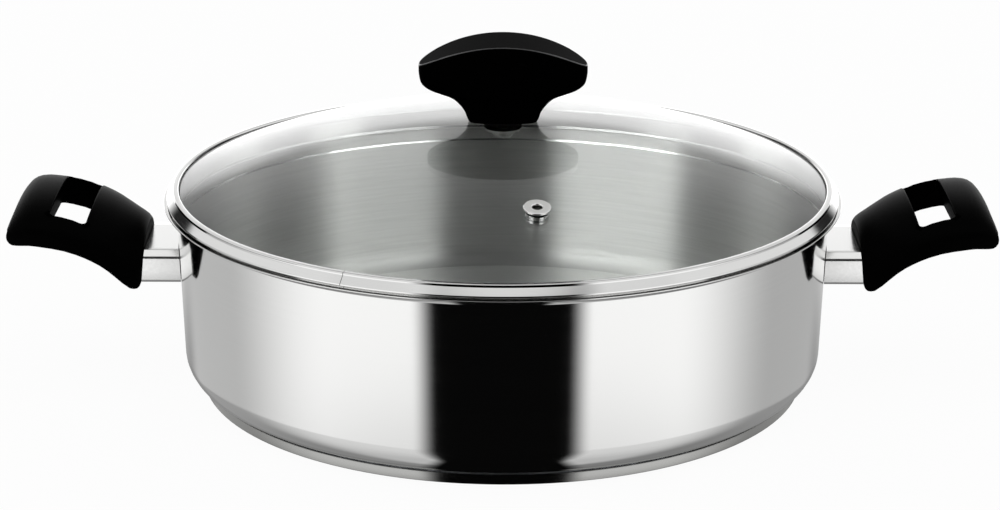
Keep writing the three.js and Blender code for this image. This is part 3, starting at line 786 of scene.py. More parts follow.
@dataclass
class SideHandle:
    """A moulded grip on a steel neck, with the screw that holds it.

    Attributes:
        side: Side of the pot.
        neck_axis: Height of the neck's axis.
        length: Grip from its inner face to its tip.
        rise: Crown's highest point above the neck's axis.
        half_width: Half of the grip's greatest width.
        lean: Lean of the inner face, outwards towards its foot.
        edge_share: Top of the grip's upright side, between underside and crown.
        crown_power: Squareness of the crown.
        window_out: Upper edge of the finger window from the inner face.
        window_rise: Upper edge of the window above the neck's axis.
        window_tilt: Lean of the window, outwards towards its foot.
        window_length: Window along the grip.
        window_half: Half of the window's width.
        window_corner: Radius of the window's corners.
        edge_rounding: Rounding of the grip's edges.
        edge_angle: Least turn between faces at an edge that is rounded.
        neck_height: Height of the neck.
        neck_sheet: Thickness of the neck's steel.
        top_chamfer: Chamfer along the neck's upper edges.
        bottom_chamfer: Chamfer along the neck's lower edges.
        neck_rounding: Rounding of the folds of the neck.
        shoulder_rounding: Rounding of the folds under its upper chamfers.
        gap: Gap between fitted pieces.
        wall_radius: Outside of the pot at the rim.
        wall_slope: Lean of the pot's wall, as a share of height.
        wall_top: Height at which the wall has its full radius.
        outline_steps: Points that the grip's outline is read at.
        settle_steps: Rounds in which the window's wall settles on a surface.
        neck_cuts: Cuts across the neck, so that its end follows the wall.
        corner_faces: Faces across the window's corners and the shoulders.
        edge_faces: Faces across the grip's rounded edges.
        fold_faces: Faces across the other folds of the neck.
    """

    side: Side
    neck_axis: float = 54.4 * MM
    length: float = 55.2 * MM
    rise: float = 30.2 * MM
    half_width: float = 37.3 * MM
    lean: float = 0.1
    edge_share: float = 0.3
    crown_power: float = 2.1
    window_out: float = 22.0 * MM
    window_rise: float = 23.0 * MM
    window_tilt: float = 0.3
    window_length: float = 15.6 * MM
    window_half: float = 28.0 * MM
    window_corner: float = 2.4 * MM
    edge_rounding: float = 1.0 * MM
    edge_angle: float = math.radians(40)
    neck_height: float = 14.2 * MM
    neck_sheet: float = 1.0 * MM
    top_chamfer: float = 2.7 * MM
    bottom_chamfer: float = 1.4 * MM
    neck_rounding: float = 0.2 * MM
    shoulder_rounding: float = 0.75 * MM
    gap: float = 0.3 * MM
    wall_radius: float = 140.8 * MM
    wall_slope: float = 0.0381
    wall_top: float = 78.6 * MM
    outline_steps: int = 200
    settle_steps: int = 8
    neck_cuts: int = 15
    corner_faces: int = 5
    edge_faces: int = 4
    fold_faces: int = 3

    def build(self) -> None:
        """Build grip and neck, and dress the screw and the other parts that they hide."""
        side = self.side.label
        publish(
            self.grip(),
            f"moulded_grip_{side}",
            [BLACK_PHENOLIC, SHEENLESS_KNOB_AND_SHADE_PHENOLIC],
            Body.POT,
            [f"handle_grip_{side}"],
        )
        publish(
            self.neck(), f"folded_neck_{side}", [SATIN_STEEL], Body.POT, [f"flame_guard_{side}"]
        )
        for node in ("handle_bracket", "bracket_nut", "handle_washer", "handle_screw"):
            dress_node(f"{node}_{side}", PLATED_STEEL)

    @cached_property
    def face(self) -> float:
        """Distance of the grip's inner face from the pot's axis, at the neck's axis."""
        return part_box("handle_grip_right")[1].x - self.length

    @cached_property
    def outline(self) -> dict[str, list[float]]:
        """Smooth curves through the stations, by the name of their size."""
        shares = np.linspace(0.0, 1.0, self.outline_steps)
        return {
            key: [smooth_through([getattr(s, key) for s in GRIP_STATIONS], k) for k in shares]
            for key in ("out", "under", "crown", "half")
        }

    def along(self, key: str, out: float) -> float:
        """Read one size of the grip at a distance from its inner face.

        Args:
            key: Name of the size in a station.
            out: Distance from the inner face.

        Returns:
            The size as a share.
        """
        return float(np.interp(out / self.length, self.outline["out"], self.outline[key]))

    def height(self, out: float, y: float, top: bool) -> float:
        """Find the height of a grip surface above the neck's axis.

        Args:
            out: Distance from the inner face.
            y: Distance from the middle of the grip.
            top: Whether the crown or the underside is meant.

        Returns:
            The height.
        """
        under, crown = (self.rise * self.along(key, out) for key in ("under", "crown"))
        if not top:
            return under
        edge = under + (crown - under) * self.edge_share
        across = min(abs(y) / (self.half_width * self.along("half", out)), 1.0)
        return edge + (crown - edge) * (1 - across**self.crown_power) ** (1 / self.crown_power)

    def window_edge(self, y: float, top: bool, far: bool) -> float:
        """Find where a wall of the finger window meets a surface of the grip.

        Args:
            y: Distance from the middle of the grip.
            top: Whether the crown or the underside is meant.
            far: Whether the wall nearer the tip is meant.

        Returns:
            Distance from the inner face, as the stations count it.
        """
        start = self.window_out
        if far:
            start += self.window_length * math.hypot(1, self.window_tilt)
        out = start
        for _ in range(self.settle_steps):
            height = self.height(out, y, top)
            lean = self.lean * (1 - out / self.length)
            out = start + self.window_tilt * (self.window_rise - height) + lean * height
        return out

    def grip_point(self, row: float, column: float, top: bool) -> Vector:
        """Place a point of the grip.

        Args:
            row: 0 at the inner face, 1 and 2 at the window's walls, 3 at the tip.
            column: -2 and 2 at the grip's sides, -1 and 1 at the window's ends.
            top: Whether the point is on the crown or on the underside.

        Returns:
            The point, for a handle on the +X side.
        """
        middle = max(-1.0, min(column, 1.0)) * self.window_half
        near, far = (self.window_edge(middle, top, f) for f in (False, True))
        stops = (0.0, near, far, self.length)
        step = min(int(row), 2)
        out = stops[step] + (stops[step + 1] - stops[step]) * (row - step)
        half = self.half_width * self.along("half", out)
        reference = near if row < 1 else far if row > 2 else out
        bound = self.window_half * half / (self.half_width * self.along("half", reference))
        y = column * bound
        if abs(column) > 1:
            share = abs(column) - 1
            if top:
                power = 2 / self.crown_power
                turn = math.acos((bound / half) ** (1 / power)) * (1 - share)
                y = math.copysign(half * math.cos(turn) ** power, column)
            else:
                y = math.copysign(bound + (half - bound) * share, column)
        height = self.height(out, y, top)
        lean = self.lean * (1 - out / self.length)
        return Vector((self.face + out - lean * height, y, self.neck_axis + height))

    def grip(self) -> BMesh:
        """Build the grip: a plate with the window, shaped by its stations.

        Returns:
            The closed grip on its side of the pot.
        """
        columns = [-c for c in reversed(GRIP_COLUMNS)] + [0, *GRIP_COLUMNS]
        last_row, last_column = len(GRIP_ROWS) - 1, len(columns) - 1
        bm = bmesh.new()
        bmesh.ops.create_grid(bm, x_segments=last_row, y_segments=last_column, size=1.0)
        row_layer = bm.verts.layers.float.new("row")
        column_layer = bm.verts.layers.float.new("column")
        for vert in bm.verts:
            vert[row_layer] = GRIP_ROWS[round((vert.co.x + 1) / 2 * last_row)]
            vert[column_layer] = columns[round((vert.co.y + 1) / 2 * last_column)]

        def at_window(vert: BMVert) -> bool:
            """Tell whether a point lies in the window or on its edge."""
            return 0.99 < vert[row_layer] < 2.01 and abs(vert[column_layer]) < 1.01

        window = [face for face in bm.faces if all(at_window(v) for v in face.verts)]
        bmesh.ops.delete(bm, geom=window, context="FACES")
        lifted = bmesh.ops.extrude_face_region(bm, geom=bm.faces[:])["geom"]
        crown = {item for item in lifted if isinstance(item, BMVert)}
        corners = []
        for vert in bm.verts:
            row, column = round(vert[row_layer], 3), round(vert[column_layer], 3)
            vert.co = self.grip_point(row, column, vert in crown)
            if row in (1, 2) and abs(column) == 1 and vert in crown:
                corners += [e for e in vert.link_edges if e.other_vert(vert) not in crown]
        for face in bm.faces:
            in_shade = all(v[row_layer] < 0.01 or at_window(v) for v in face.verts)
            # Walls of the window, and the inner face, join crown and underside; they take the
            # darker, sheenless second finish as painted shade.
            face.material_index = int(in_shade and len({v in crown for v in face.verts}) == 2)
        bmesh.ops.recalc_face_normals(bm, faces=bm.faces)
        round_edges(bm, corners, self.window_corner, self.corner_faces)
        sharp = [e for e in bm.edges if e.calc_face_angle(0.0) > self.edge_angle]
        round_edges(bm, sharp, self.edge_rounding, self.edge_faces)
        self.turn_to_side(bm)
        return bm

    def turn_to_side(self, bm: BMesh) -> None:
        """Turn a mesh that was made for +X to the handle's side."""
        turn = Matrix.Rotation(self.side.value, 3, "Z")
        bmesh.ops.rotate(bm, verts=bm.verts, cent=(0, 0, 0), matrix=turn)

    def neck(self) -> BMesh:
        """Build the neck: a folded sleeve between wall and grip.

        Returns:
            The closed sleeve on its side of the pot.
        """
        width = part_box("flame_guard_right")[1].y * 2
        side = width / 2 - MERGE_DISTANCE
        bm = bmesh.new()
        bmesh.ops.create_cube(bm, size=1.0)
        bmesh.ops.scale(bm, verts=bm.verts, vec=(1.0, width, self.neck_height))
        # The folds are the edges along the cube's length of 1, which is fitted further down.
        for top, chamfer in ((True, self.top_chamfer), (False, self.bottom_chamfer)):
            folds = [e for e in edges_along(bm, 0, 0.5) if (e.verts[0].co.z > 0) == top]
            round_edges(bm, folds, chamfer, 1)
        folds = edges_along(bm, 0, 0.5)
        shoulders = [e for e in folds if e.verts[0].co.z > 0 and abs(e.verts[0].co.y) > side]
        others = [e for e in folds if e not in shoulders]
        round_edges(bm, others, self.neck_rounding, self.fold_faces)
        round_edges(bm, shoulders, self.shoulder_rounding, self.corner_faces)
        ends = [f for f in bm.faces if abs(f.normal.x) > 0.5]
        bmesh.ops.delete(bm, geom=ends, context="FACES_ONLY")
        across = edges_along(bm, 1, width / 2)
        bmesh.ops.subdivide_edges(bm, edges=across, cuts=self.neck_cuts, use_grid_fill=True)
        for vert in bm.verts:
            height = vert.co.z
            if vert.co.x > 0:
                vert.co.x = self.face - self.gap - self.lean * height
            else:
                inset = self.wall_slope * (self.wall_top - self.neck_axis - height)
                wall = self.wall_radius - inset + self.gap
                vert.co.x = math.sqrt(wall**2 - vert.co.y**2)
            vert.co.z += self.neck_axis
        bmesh.ops.recalc_face_normals(bm, faces=bm.faces)
        bmesh.ops.solidify(bm, geom=bm.faces[:], thickness=self.neck_sheet)
        self.turn_to_side(bm)
        return bm


@dataclass
class Lid:
    """The domed glass in its steel band, with the seals and the screw under the knob.

    Attributes:
        dome_radius: Radius of the glass's outer surface.
        thickness: Thickness of the glass, upright.
        glass_chamfer: Rounding of the glass's edge.
        screw_hole: Radius of the hole for the knob's screw.
        sheet: Thickness of the band's steel.
        gap: Gap between fitted pieces.
        fold: Rounding of the band's folds.
        skirt_inset: Skirt inside the edge of the glass.
        seat_drop: Flange's underside below the edge of the glass.
        flange_spread: Flange outside that of the CAD node.
        flange_edge: Height of the flange's upright edge.
        flange_rounding: Rounding of that edge.
        bead_wall: Bead outside the pocket.
        bead_cover: Bead over the top of the glass.
        bead_curl: Radius of the bead's outer edge.
        bead_lip: Rounding of the bead's inner edge.
        bead_side: Upright side between the bead's curl and its slanted face.
        hem: Height of the hem at the skirt's foot.
        hem_depth: Hem inside the skirt.
        seam: Width of the band's butt seam.
        seam_turn: Place of the seam round the axis.
        knob_drop: Top of the knob's seal below that of the CAD node.
        seal_hole: Radius of the hole in seals and washer.
        seal_gap: Gap between the knob's seal and the glass.
        seal_rounding: Rounding of the seals' edges.
        washer_rounding: Rounding of the washer's edges.
        dome_steps: Faces from the hole to the edge of the glass.
    """

    dome_radius: float = 370.8 * MM
    thickness: float = 4.0 * MM
    glass_chamfer: float = 0.6 * MM
    screw_hole: float = 4.0 * MM
    sheet: float = 0.6 * MM
    gap: float = 0.3 * MM
    fold: float = 0.25 * MM
    skirt_inset: float = 1.7 * MM
    seat_drop: float = 3.25 * MM
    flange_spread: float = 0.35 * MM
    flange_edge: float = 0.7 * MM
    flange_rounding: float = 0.2 * MM
    bead_wall: float = 1.4 * MM
    bead_cover: float = 1.2 * MM
    bead_curl: float = 0.7 * MM
    bead_lip: float = 0.5 * MM
    bead_side: float = 0.5 * MM
    hem: float = 1.4 * MM
    hem_depth: float = 0.5 * MM
    seam: float = 0.25 * MM
    seam_turn: float = math.radians(-115.9)
    knob_drop: float = 0.8 * MM
    seal_hole: float = 2.7 * MM
    seal_gap: float = 0.05 * MM
    seal_rounding: float = 0.3 * MM
    washer_rounding: float = 0.12 * MM
    dome_steps: int = 48

    def dome(self, radius: float) -> float:
        """Height of the glass's outer surface at a distance from the axis."""
        return self.dome_centre + math.sqrt(self.dome_radius**2 - radius**2)

    @cached_property
    def dome_centre(self) -> float:
        """Height of the centre of the dome's sphere."""
        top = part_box("lid_glass")[1].z
        return top - math.sqrt(self.dome_radius**2 - self.screw_hole**2)

    @cached_property
    def glass_radius(self) -> float:
        """Radius of the glass's edge."""
        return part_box("lid_glass")[1].x

    def build(self) -> None:
        """Build the glass, its band, the vent and what holds the knob."""
        vent = SteamVent(self)
        glass = publish(self.glass(), "domed_glass", [CLEAR_GLASS], Body.LID, ["lid_glass"])
        cut_out(glass, vent.hole())
        publish(self.band(), "rolled_rim_band", [MIRROR_STEEL], Body.LID, ["lid_rim_band"])
        vent.build()
        self.fixing()

    def glass(self) -> BMesh:
        """Build the glass without its vent hole.

        Returns:
            The closed dome.
        """
        edge = self.glass_radius
        span = [
            self.screw_hole + (edge - self.screw_hole) * k / self.dome_steps
            for k in range(self.dome_steps + 1)
        ]
        rounded = [self.glass_chamfer if r in (span[0], span[-1]) else 0.0 for r in span]
        outside = [Corner(r, self.dome(r), c) for r, c in zip(span, rounded)]
        inside = [
            Corner(c.radius, c.height - self.thickness, c.rounding) for c in reversed(outside)
        ]
        return turned(outside + inside, ROUND_STEPS, ring=True)

    def band(self) -> BMesh:
        """Build the band: skirt, flange, slanted face and bead, with its butt seam.

        Returns:
            The closed band.
        """
        low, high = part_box("lid_rim_band")
        glass = self.glass_radius
        edge = self.dome(glass)
        pocket = glass + self.gap
        bead = pocket + self.bead_wall
        bead_inner = glass - self.bead_cover
        skirt = glass - self.skirt_inset
        lining = skirt - self.sheet
        seat = edge - self.seat_drop
        flange = high.x + self.flange_spread
        shelf = edge - self.thickness - self.gap
        fold = self.fold
        return turned(
            [
                Corner(skirt, low.z, fold),
                Corner(skirt, shelf - self.sheet, fold),
                Corner(pocket + self.sheet, shelf - self.sheet, fold),
                Corner(pocket + self.sheet, seat, fold),
                Corner(flange, seat, self.flange_rounding),
                Corner(flange, seat + self.flange_edge, self.flange_rounding),
                Corner(bead, high.z - self.bead_curl - self.bead_side, fold),
                Corner(bead, high.z, self.bead_curl),
                Corner(bead_inner + self.sheet / 2, high.z, self.bead_lip),
                Corner(bead_inner, self.dome(bead_inner) + self.gap),
                Corner(pocket, edge + self.gap),
                Corner(pocket, shelf),
                Corner(lining, self.dome(lining) - self.thickness - self.gap),
                Corner(lining, low.z + self.hem, fold),
                Corner(lining - self.hem_depth, low.z + self.hem / 2, fold),
                Corner(lining - self.hem_depth, low.z, fold),
            ],
            ROUND_STEPS,
            ring=True,
            slit=self.seam / high.x,
            start=self.seam_turn,
        )

    def fixing(self) -> None:
        """Build the seals and the washer round the knob's screw, and dress the rest."""
        hole = self.seal_hole
        for node, name, finish, rounding in (
            ("knob_seal", "moulded_knob_seal", BLACK_SILICONE, self.seal_rounding),
            ("under_seal", "moulded_under_seal", BLACK_SILICONE, self.seal_rounding),
            ("under_washer", "pressed_under_washer", PLATED_STEEL, self.washer_rounding),
        ):
            low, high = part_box(node)
            foot, top = low.z, high.z
            if node == "knob_seal":
                foot, top = self.dome(hole) + self.seal_gap, high.z - self.knob_drop
            bm = turned(
                [
                    Corner(hole, foot),
                    Corner(high.x, low.z, rounding),
                    Corner(high.x, top, rounding),
                    Corner(hole, top),
                ],
                SMALL_STEPS,
                ring=True,
            )
            publish(bm, name, [finish], Body.LID, [node])
        dress_node("knob_insert", TURNED_BRASS)
        dress_node("knob_screw", PLATED_STEEL)


@dataclass
class SteamVent:
    """The eyelet, its grommet and its collar in the glass.

    Attributes:
        lid: Lid that carries the vent.
        distance: Vent's axis from the lid's axis.
        turn: Place round the lid's axis from +X.
        bore: Radius of the bore.
        tube: Outside radius of the eyelet's tube.
        sleeve: Outside radius of the grommet's sleeve.
        clearance: Hole in the glass outside the sleeve.
        flange: Radius of the eyelet's flange.
        flange_height: Height of the flange.
        flange_foot: Rounding of the flange's lower edge.
        flange_rounding: Rounding of its upper edge.
        mouth: Rounding of the bore's mouth.
        grommet: Radius of the grommet's lip.
        grommet_lip: Height of the grommet's lip.
        grommet_rounding: Rounding of that lip.
        collar: Radius of the collar.
        collar_height: Height of the collar.
        collar_rounding: Rounding of the collar's lower edge.
        edge: Rounding of the other edges.
    """

    lid: Lid
    distance: float = 94.0 * MM
    turn: float = math.radians(-81.6)
    bore: float = 2.0 * MM
    tube: float = 3.15 * MM
    sleeve: float = 4.25 * MM
    clearance: float = 0.3 * MM
    flange: float = 5.8 * MM
    flange_height: float = 1.1 * MM
    flange_foot: float = 0.5 * MM
    flange_rounding: float = 0.58 * MM
    mouth: float = 0.7 * MM
    grommet: float = 4.9 * MM
    grommet_lip: float = 0.8 * MM
    grommet_rounding: float = 0.25 * MM
    collar: float = 4.9 * MM
    collar_height: float = 1.0 * MM
    collar_rounding: float = 0.3 * MM
    edge: float = 0.2 * MM

    def placed(self, bm: BMesh) -> BMesh:
        """Tilt a mesh made about Z to the glass's normal, and move it to the vent."""
        tilt = math.asin(self.distance / self.lid.dome_radius)
        place = Matrix.Translation((self.distance, 0, self.lid.dome(self.distance)))
        whole = Matrix.Rotation(self.turn, 4, "Z") @ place @ Matrix.Rotation(tilt, 4, "Y")
        bmesh.ops.transform(bm, matrix=whole, verts=bm.verts)
        return bm

    def hole(self) -> BMesh:
        """Build the round bar that the vent's hole in the glass takes out."""
        reach = 2 * self.lid.thickness
        return self.placed(round_bar(self.sleeve + self.clearance, -reach, reach))

    def build(self) -> None:
        """Build the three rings of the vent."""
        gap, glass = self.clearance, self.lid.thickness
        low = 2 * gap + self.grommet_lip
        high = low + self.flange_height
        foot = -glass - 2 * gap - self.collar_height
        eyelet = [
            Corner(self.bore, foot, self.edge),
            Corner(self.tube, foot, self.edge),
            Corner(self.tube, low),
            Corner(self.flange, low, self.flange_foot),
            Corner(self.flange, high, self.flange_rounding),
            Corner(self.bore, high, self.mouth),
        ]
        inner = self.tube + gap
        grommet = [
            Corner(inner, -glass),
            Corner(self.sleeve, -glass, self.edge),
            Corner(self.sleeve, gap),
            Corner(self.grommet, gap, self.grommet_rounding),
            Corner(self.grommet, gap + self.grommet_lip, self.grommet_rounding),
            Corner(inner, gap + self.grommet_lip),
        ]
        top = -glass - 2 * gap
        collar = [
            Corner(inner, top - self.collar_height, self.edge),
            Corner(self.collar, top - self.collar_height, self.collar_rounding),
            Corner(self.collar, top, self.edge),
            Corner(inner, top),
        ]
        for profile, name, finishes, node in (
            (eyelet, "turned_vent_eyelet", [BRIGHT_STEEL, FACED_PAINTED_LIGHT_STEEL], "vent_eyelet"),
            (grommet, "moulded_vent_grommet", [BLACK_SILICONE], "vent_grommet"),
            (collar, "turned_vent_collar", [PLATED_STEEL], "vent_collar"),
        ):
            ring = turned(profile, SMALL_STEPS, ring=True)
            for face in ring.faces:
                # The eyelet's upward faces take the paler second finish: partly painted light.
                face.material_index = int(face.normal.z > LEVEL and len(finishes) > 1)
            publish(self.placed(ring), name, finishes, Body.LID, [node])


@dataclass(frozen=True)
class KnobStation:
    """Section of the knob at one height.

    Attributes:
        rise: Share of the height up to the widest section.
        length: Share of the half length.
        depth: Share of the half depth.
        power: Squareness of the section.
    """

    rise: float
    length: float
    depth: float
    power: float


KNOB_STATIONS = (
    KnobStation(0.0, 0.406, 0.607, 4.0),
    KnobStation(0.049, 0.423, 0.655, 4.0),
    KnobStation(0.227, 0.467, 0.703, 3.4),
    KnobStation(0.404, 0.561, 0.759, 2.8),
    KnobStation(0.493, 0.646, 0.807, 2.5),
    KnobStation(0.571, 0.779, 0.855, 2.45),
    KnobStation(0.65, 0.892, 0.897, 2.5),
    KnobStation(0.749, 0.964, 0.938, 2.5),
    KnobStation(0.867, 0.989, 0.966, 2.5),
    KnobStation(1.0, 1.0, 1.0, 2.5),
)


@dataclass
class LidKnob:
    """The oblong moulded knob on its narrow foot.

    Attributes:
        foot_drop: Foot below that of the CAD node, towards the glass.
        body_rise: Foot of the CAD node to the widest section.
        crown_rise: Crown's middle above its ends.
        plan_power: Squareness of the crown's plan.
        rim_rounding: Rounding of the crown's rim.
        crown_faces: Faces along and across the crown.
        rim_faces: Faces across the rim's rounding.
        rings: Faces from the widest section to the foot.
        wall_rings: Faces from the crown's rim to the widest section.
        socket: Radius of the socket for the brass insert.
        socket_depth: Depth of that socket.
    """

    foot_drop: float = 0.8 * MM
    body_rise: float = 20.3 * MM
    crown_rise: float = 10.5 * MM
    plan_power: float = 2.5
    rim_rounding: float = 0.4 * MM
    crown_faces: tuple[int, int] = (40, 20)
    rim_faces: int = 4
    rings: int = 36
    wall_rings: int = 4
    socket: float = 4.3 * MM
    socket_depth: float = 12.3 * MM

    def build(self) -> None:
        """Build the knob and cut its socket."""
        low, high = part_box("knob")
        finishes = [SHEENLESS_KNOB_AND_SHADE_PHENOLIC, KNOB_RIM_HIGHLIGHT]
        knob = publish(self.body(low, high), "moulded_knob", finishes, Body.LID, ["knob"])
        foot, top = low.z - self.socket, low.z + self.socket_depth
        cut_out(knob, round_bar(self.socket, foot, top))

    def body(self, low: Vector, high: Vector) -> BMesh:
        """Build the knob from its crown down.

        Args:
            low: Lowest corner of the knob's box.
            high: Highest corner of the knob's box.

        Returns:
            The closed knob.
        """
        half = high.x
        foot, widest = low.z - self.foot_drop, low.z + self.body_rise
        arch = (half**2 + self.crown_rise**2) / (2 * self.crown_rise)
        bm = bmesh.new()
        along, across = self.crown_faces
        bmesh.ops.create_grid(bm, x_segments=along, y_segments=across, size=1.0)
        turn_layer = bm.verts.layers.float.new("turn")
        for vert in bm.verts:
            u, v = vert.co.x, vert.co.y
            disc = Vector((u * math.sqrt(1 - v * v / 2), v * math.sqrt(1 - u * u / 2)))
            turn = vert[turn_layer] = math.atan2(disc.y, disc.x)
            x = disc.length * swelled(math.cos(turn), self.plan_power)
            y = disc.length * swelled(math.sin(turn), self.plan_power)
            above = math.sqrt(arch**2 - (x * half) ** 2) - arch
            vert.co = Vector((x * half, y * high.y, high.z + above))
        rim = [e for e in bm.edges if e.is_boundary]
        edge = rim
        for ring in range(1, self.wall_rings + 1):
            edge = self.drawn_down(bm, edge)
            for vert in {v for e in edge for v in e.verts}:
                vert.co.z += (widest - vert.co.z) / (self.wall_rings + 1 - ring)
        for ring in range(1, self.rings + 1):
            edge = self.drawn_down(bm, edge)
            share = 1 - ring / self.rings
            rise, length, depth, power = (
                smooth_through([getattr(s, key) for s in KNOB_STATIONS], share)
                for key in ("rise", "length", "depth", "power")
            )
            for vert in {v for e in edge for v in e.verts}:
                turn = vert[turn_layer]
                vert.co = Vector(
                    (
                        half * length * swelled(math.cos(turn), power),
                        high.y * depth * swelled(math.sin(turn), power),
                        foot + (widest - foot) * rise,
                    )
                )
        bmesh.ops.contextual_create(bm, geom=edge)
        bmesh.ops.recalc_face_normals(bm, faces=bm.faces)
        # The rim takes the second finish, a lighter, glossier black: a painted highlight.
        for face in round_edges(bm, rim, self.rim_rounding, self.rim_faces):
            face.material_index = 1
        return bm

    @staticmethod
    def drawn_down(bm: BMesh, edges: Sequence[BMEdge]) -> list[BMEdge]:
        """Extrude a loop of edges and return the new loop."""
        made = bmesh.ops.extrude_edge_only(bm, edges=list(edges))["geom"]
        return [item for item in made if isinstance(item, BMEdge) and item.is_boundary]


def swelled(value: float, power: float) -> float:
    """Swell a sine or cosine towards a square section."""
    return math.copysign(abs(value) ** (2 / power), value)


@dataclass
class Studio:
    """White sweep, soft light and the camera of the photograph.

    Attributes:
        place: Camera's place.
        pitch: Camera's tilt below the horizon.
        roll: Camera's turn about its own axis.
        focal: Focal length, in pixels of the photograph.
        centre: Pixel that the camera points at.
        frame_size: Width and height of the photograph, in pixels.
        sensor: Width of the camera's sensor, in millimetres.
        floor_half: Half of the floor's width.
        floor_glow: Share of plain white in the floor's colour.
        flag_place: Distance of the upright dark card in front of the pot's axis.
        flag_top: Height of that card's upper edge.
        flag_height: Height of that card.
        flag_halves: Half widths of that card, of its dark part and with its soft edges.
        strip_start: Near edge of the flat dark card in front of the pot's axis.
        strip_length: Length of the flat card.
        strip_depth: Flat card below the floor.
        strip_halves: Half widths of the flat card, as for the upright one.
        card_color: sRGB hex colour of both cards.
        box_gap: Middle of the gap between the front boxes, to the right of the camera.
        box_level: Light of the front boxes, seen without the lid between.
        lid_shade: Share of the backdrop's light that counts under the lid.
    """

    place: tuple[float, float, float] = (0.0, -1.162, 0.436)
    pitch: float = math.radians(18.25)
    roll: float = math.radians(0.2)
    focal: float = 2800.0
    centre: tuple[float, float] = (502.5, 256.1)
    frame_size: tuple[int, int] = (1000, 510)
    sensor: float = 36.0
    floor_half: float = 4.0
    floor_glow: float = 0.95
    flag_place: float = 0.4
    flag_top: float = 0.29
    flag_height: float = 5.0
    flag_halves: tuple[float, float] = (0.137, 0.203)
    strip_start: float = 0.06
    strip_length: float = 0.15
    strip_depth: float = 0.012
    strip_halves: tuple[float, float] = (0.0275, 0.038)
    card_color: str = "080808"
    box_gap: float = math.radians(2.5)
    box_level: float = 0.85
    lid_shade: float = 0.08

    def build(self) -> None:
        """Set up camera, floor, dark cards and light."""
        bpy.context.scene.view_settings.view_transform = "Standard"
        self.camera()
        self.floor()
        upright = Matrix.Rotation(math.pi / 2, 4, "X")
        place = Matrix.Translation((0, -self.flag_place, self.flag_top - self.flag_height / 2))
        self.card("dark_card", place @ upright, self.flag_height, *self.flag_halves)
        middle = -self.strip_start - self.strip_length / 2
        place = Matrix.Translation((0, middle, -self.strip_depth))
        self.card("dark_strip", place, self.strip_length, *self.strip_halves)
        self.light()
        LOG.info("studio ready")

    def camera(self) -> None:
        """Put the camera where the photograph was taken from."""
        width, height = self.frame_size
        data = bpy.data.cameras.new("photo_camera")
        data.sensor_width = self.sensor
        data.lens = self.focal * self.sensor / width
        data.shift_x = (width / 2 - self.centre[0]) / width
        data.shift_y = (self.centre[1] - height / 2) / width
        camera = bpy.data.objects.new("photo_camera", data)
        camera.matrix_world = (
            Matrix.Translation(self.place)
            @ Matrix.Rotation(math.pi / 2 - self.pitch, 4, "X")
            @ Matrix.Rotation(self.roll, 4, "Z")
        )
        bpy.context.scene.collection.objects.link(camera)
        bpy.context.scene.camera = camera

    def floor(self) -> None:
        """Lay a white floor that keeps a faint shadow and stays out of the steel."""
        bm = bmesh.new()
        bmesh.ops.create_grid(bm, x_segments=1, y_segments=1, size=self.floor_half)
        floor = as_object(bm, "white_floor")
        floor.visible_glossy = False
        tree = self.papered(floor, "white_paper")
        paper = add_node(tree, "BsdfDiffuse", None, {"Color": linear("ffffff")})
        white = add_node(tree, "Emission", None, {"Color": linear("ffffff"), "Strength": 1.0})
        path = add_node(tree, "LightPath")
        seen = add_node(
            tree,
            "Math",
            {"operation": "MAXIMUM"},
            {0: path.outputs["Is Camera Ray"], 1: path.outputs["Is Transmission Ray"]},
        )
        share = add_node(
            tree, "Math", {"operation": "MULTIPLY"}, {0: seen.outputs[0], 1: self.floor_glow}
        )
        mixed = add_node(
            tree, "MixShader", None, {0: share.outputs[0], 1: paper.outputs[0], 2: white.outputs[0]}
        )
        tree.links.new(mixed.outputs[0], tree.nodes["Material Output"].inputs["Surface"])

    @staticmethod
    def papered(backdrop: bpy.types.Object, name: str) -> bpy.types.NodeTree:
        """Mark an object as part of the studio and give it a material.

        Args:
            backdrop: Floor or card.
            name: Name of the material.

        Returns:
            The material's node tree.
        """
        material = bpy.data.materials.new(name)
        material.use_nodes = True
        backdrop.data.materials.append(material)
        return material.node_tree

    def card(self, name: str, place: Matrix, length: float, core: float, reach: float) -> None:
        """Put up a dark card with soft edges, which only the pot's steel shows.

        Args:
            name: Name of the card.
            place: Where the card goes; it is made flat, with its length along Y.
            length: Length of the card.
            core: Half of the card's width that is fully dark.
            reach: Half of the card's width up to the end of its soft edges.
        """
        bm = bmesh.new()
        bmesh.ops.create_grid(bm, x_segments=1, y_segments=1, size=1.0)
        bmesh.ops.scale(bm, verts=bm.verts, vec=(reach, length / 2, 1.0))
        bmesh.ops.transform(bm, matrix=place, verts=bm.verts)
        card = as_object(bm, name)
        card.visible_camera = card.visible_diffuse = card.visible_shadow = False
        tree = self.papered(card, name + "_paper")
        place = add_node(tree, "TexCoord").outputs["Object"]
        split = add_node(tree, "SeparateXYZ", None, {0: place})
        aside = add_node(tree, "Math", {"operation": "ABSOLUTE"}, {0: split.outputs["X"]})
        edge = add_node(
            tree,
            "MapRange",
            {"interpolation_type": "SMOOTHSTEP"},
            {"Value": aside.outputs[0], "From Min": core, "From Max": reach},
        )
        # Glass alone doesn't show the card, so that no view through the lid meets it.
        path = add_node(tree, "LightPath")
        bare = add_node(
            tree, "Math", {"operation": "LESS_THAN"}, {0: path.outputs["Glossy Depth"], 1: 0.5}
        )
        clear = add_node(
            tree, "Math", {"operation": "MAXIMUM"}, {0: edge.outputs["Result"], 1: bare.outputs[0]}
        )
        color = linear(self.card_color)
        dark = add_node(tree, "Emission", None, {"Color": color, "Strength": 1.0})
        through = add_node(tree, "BsdfTransparent")
        shaders = {1: dark.outputs[0], 2: through.outputs[0]}
        mixed = add_node(tree, "MixShader", None, {0: clear.outputs[0]} | shaders)
        tree.links.new(mixed.outputs[0], tree.nodes["Material Output"].inputs["Surface"])

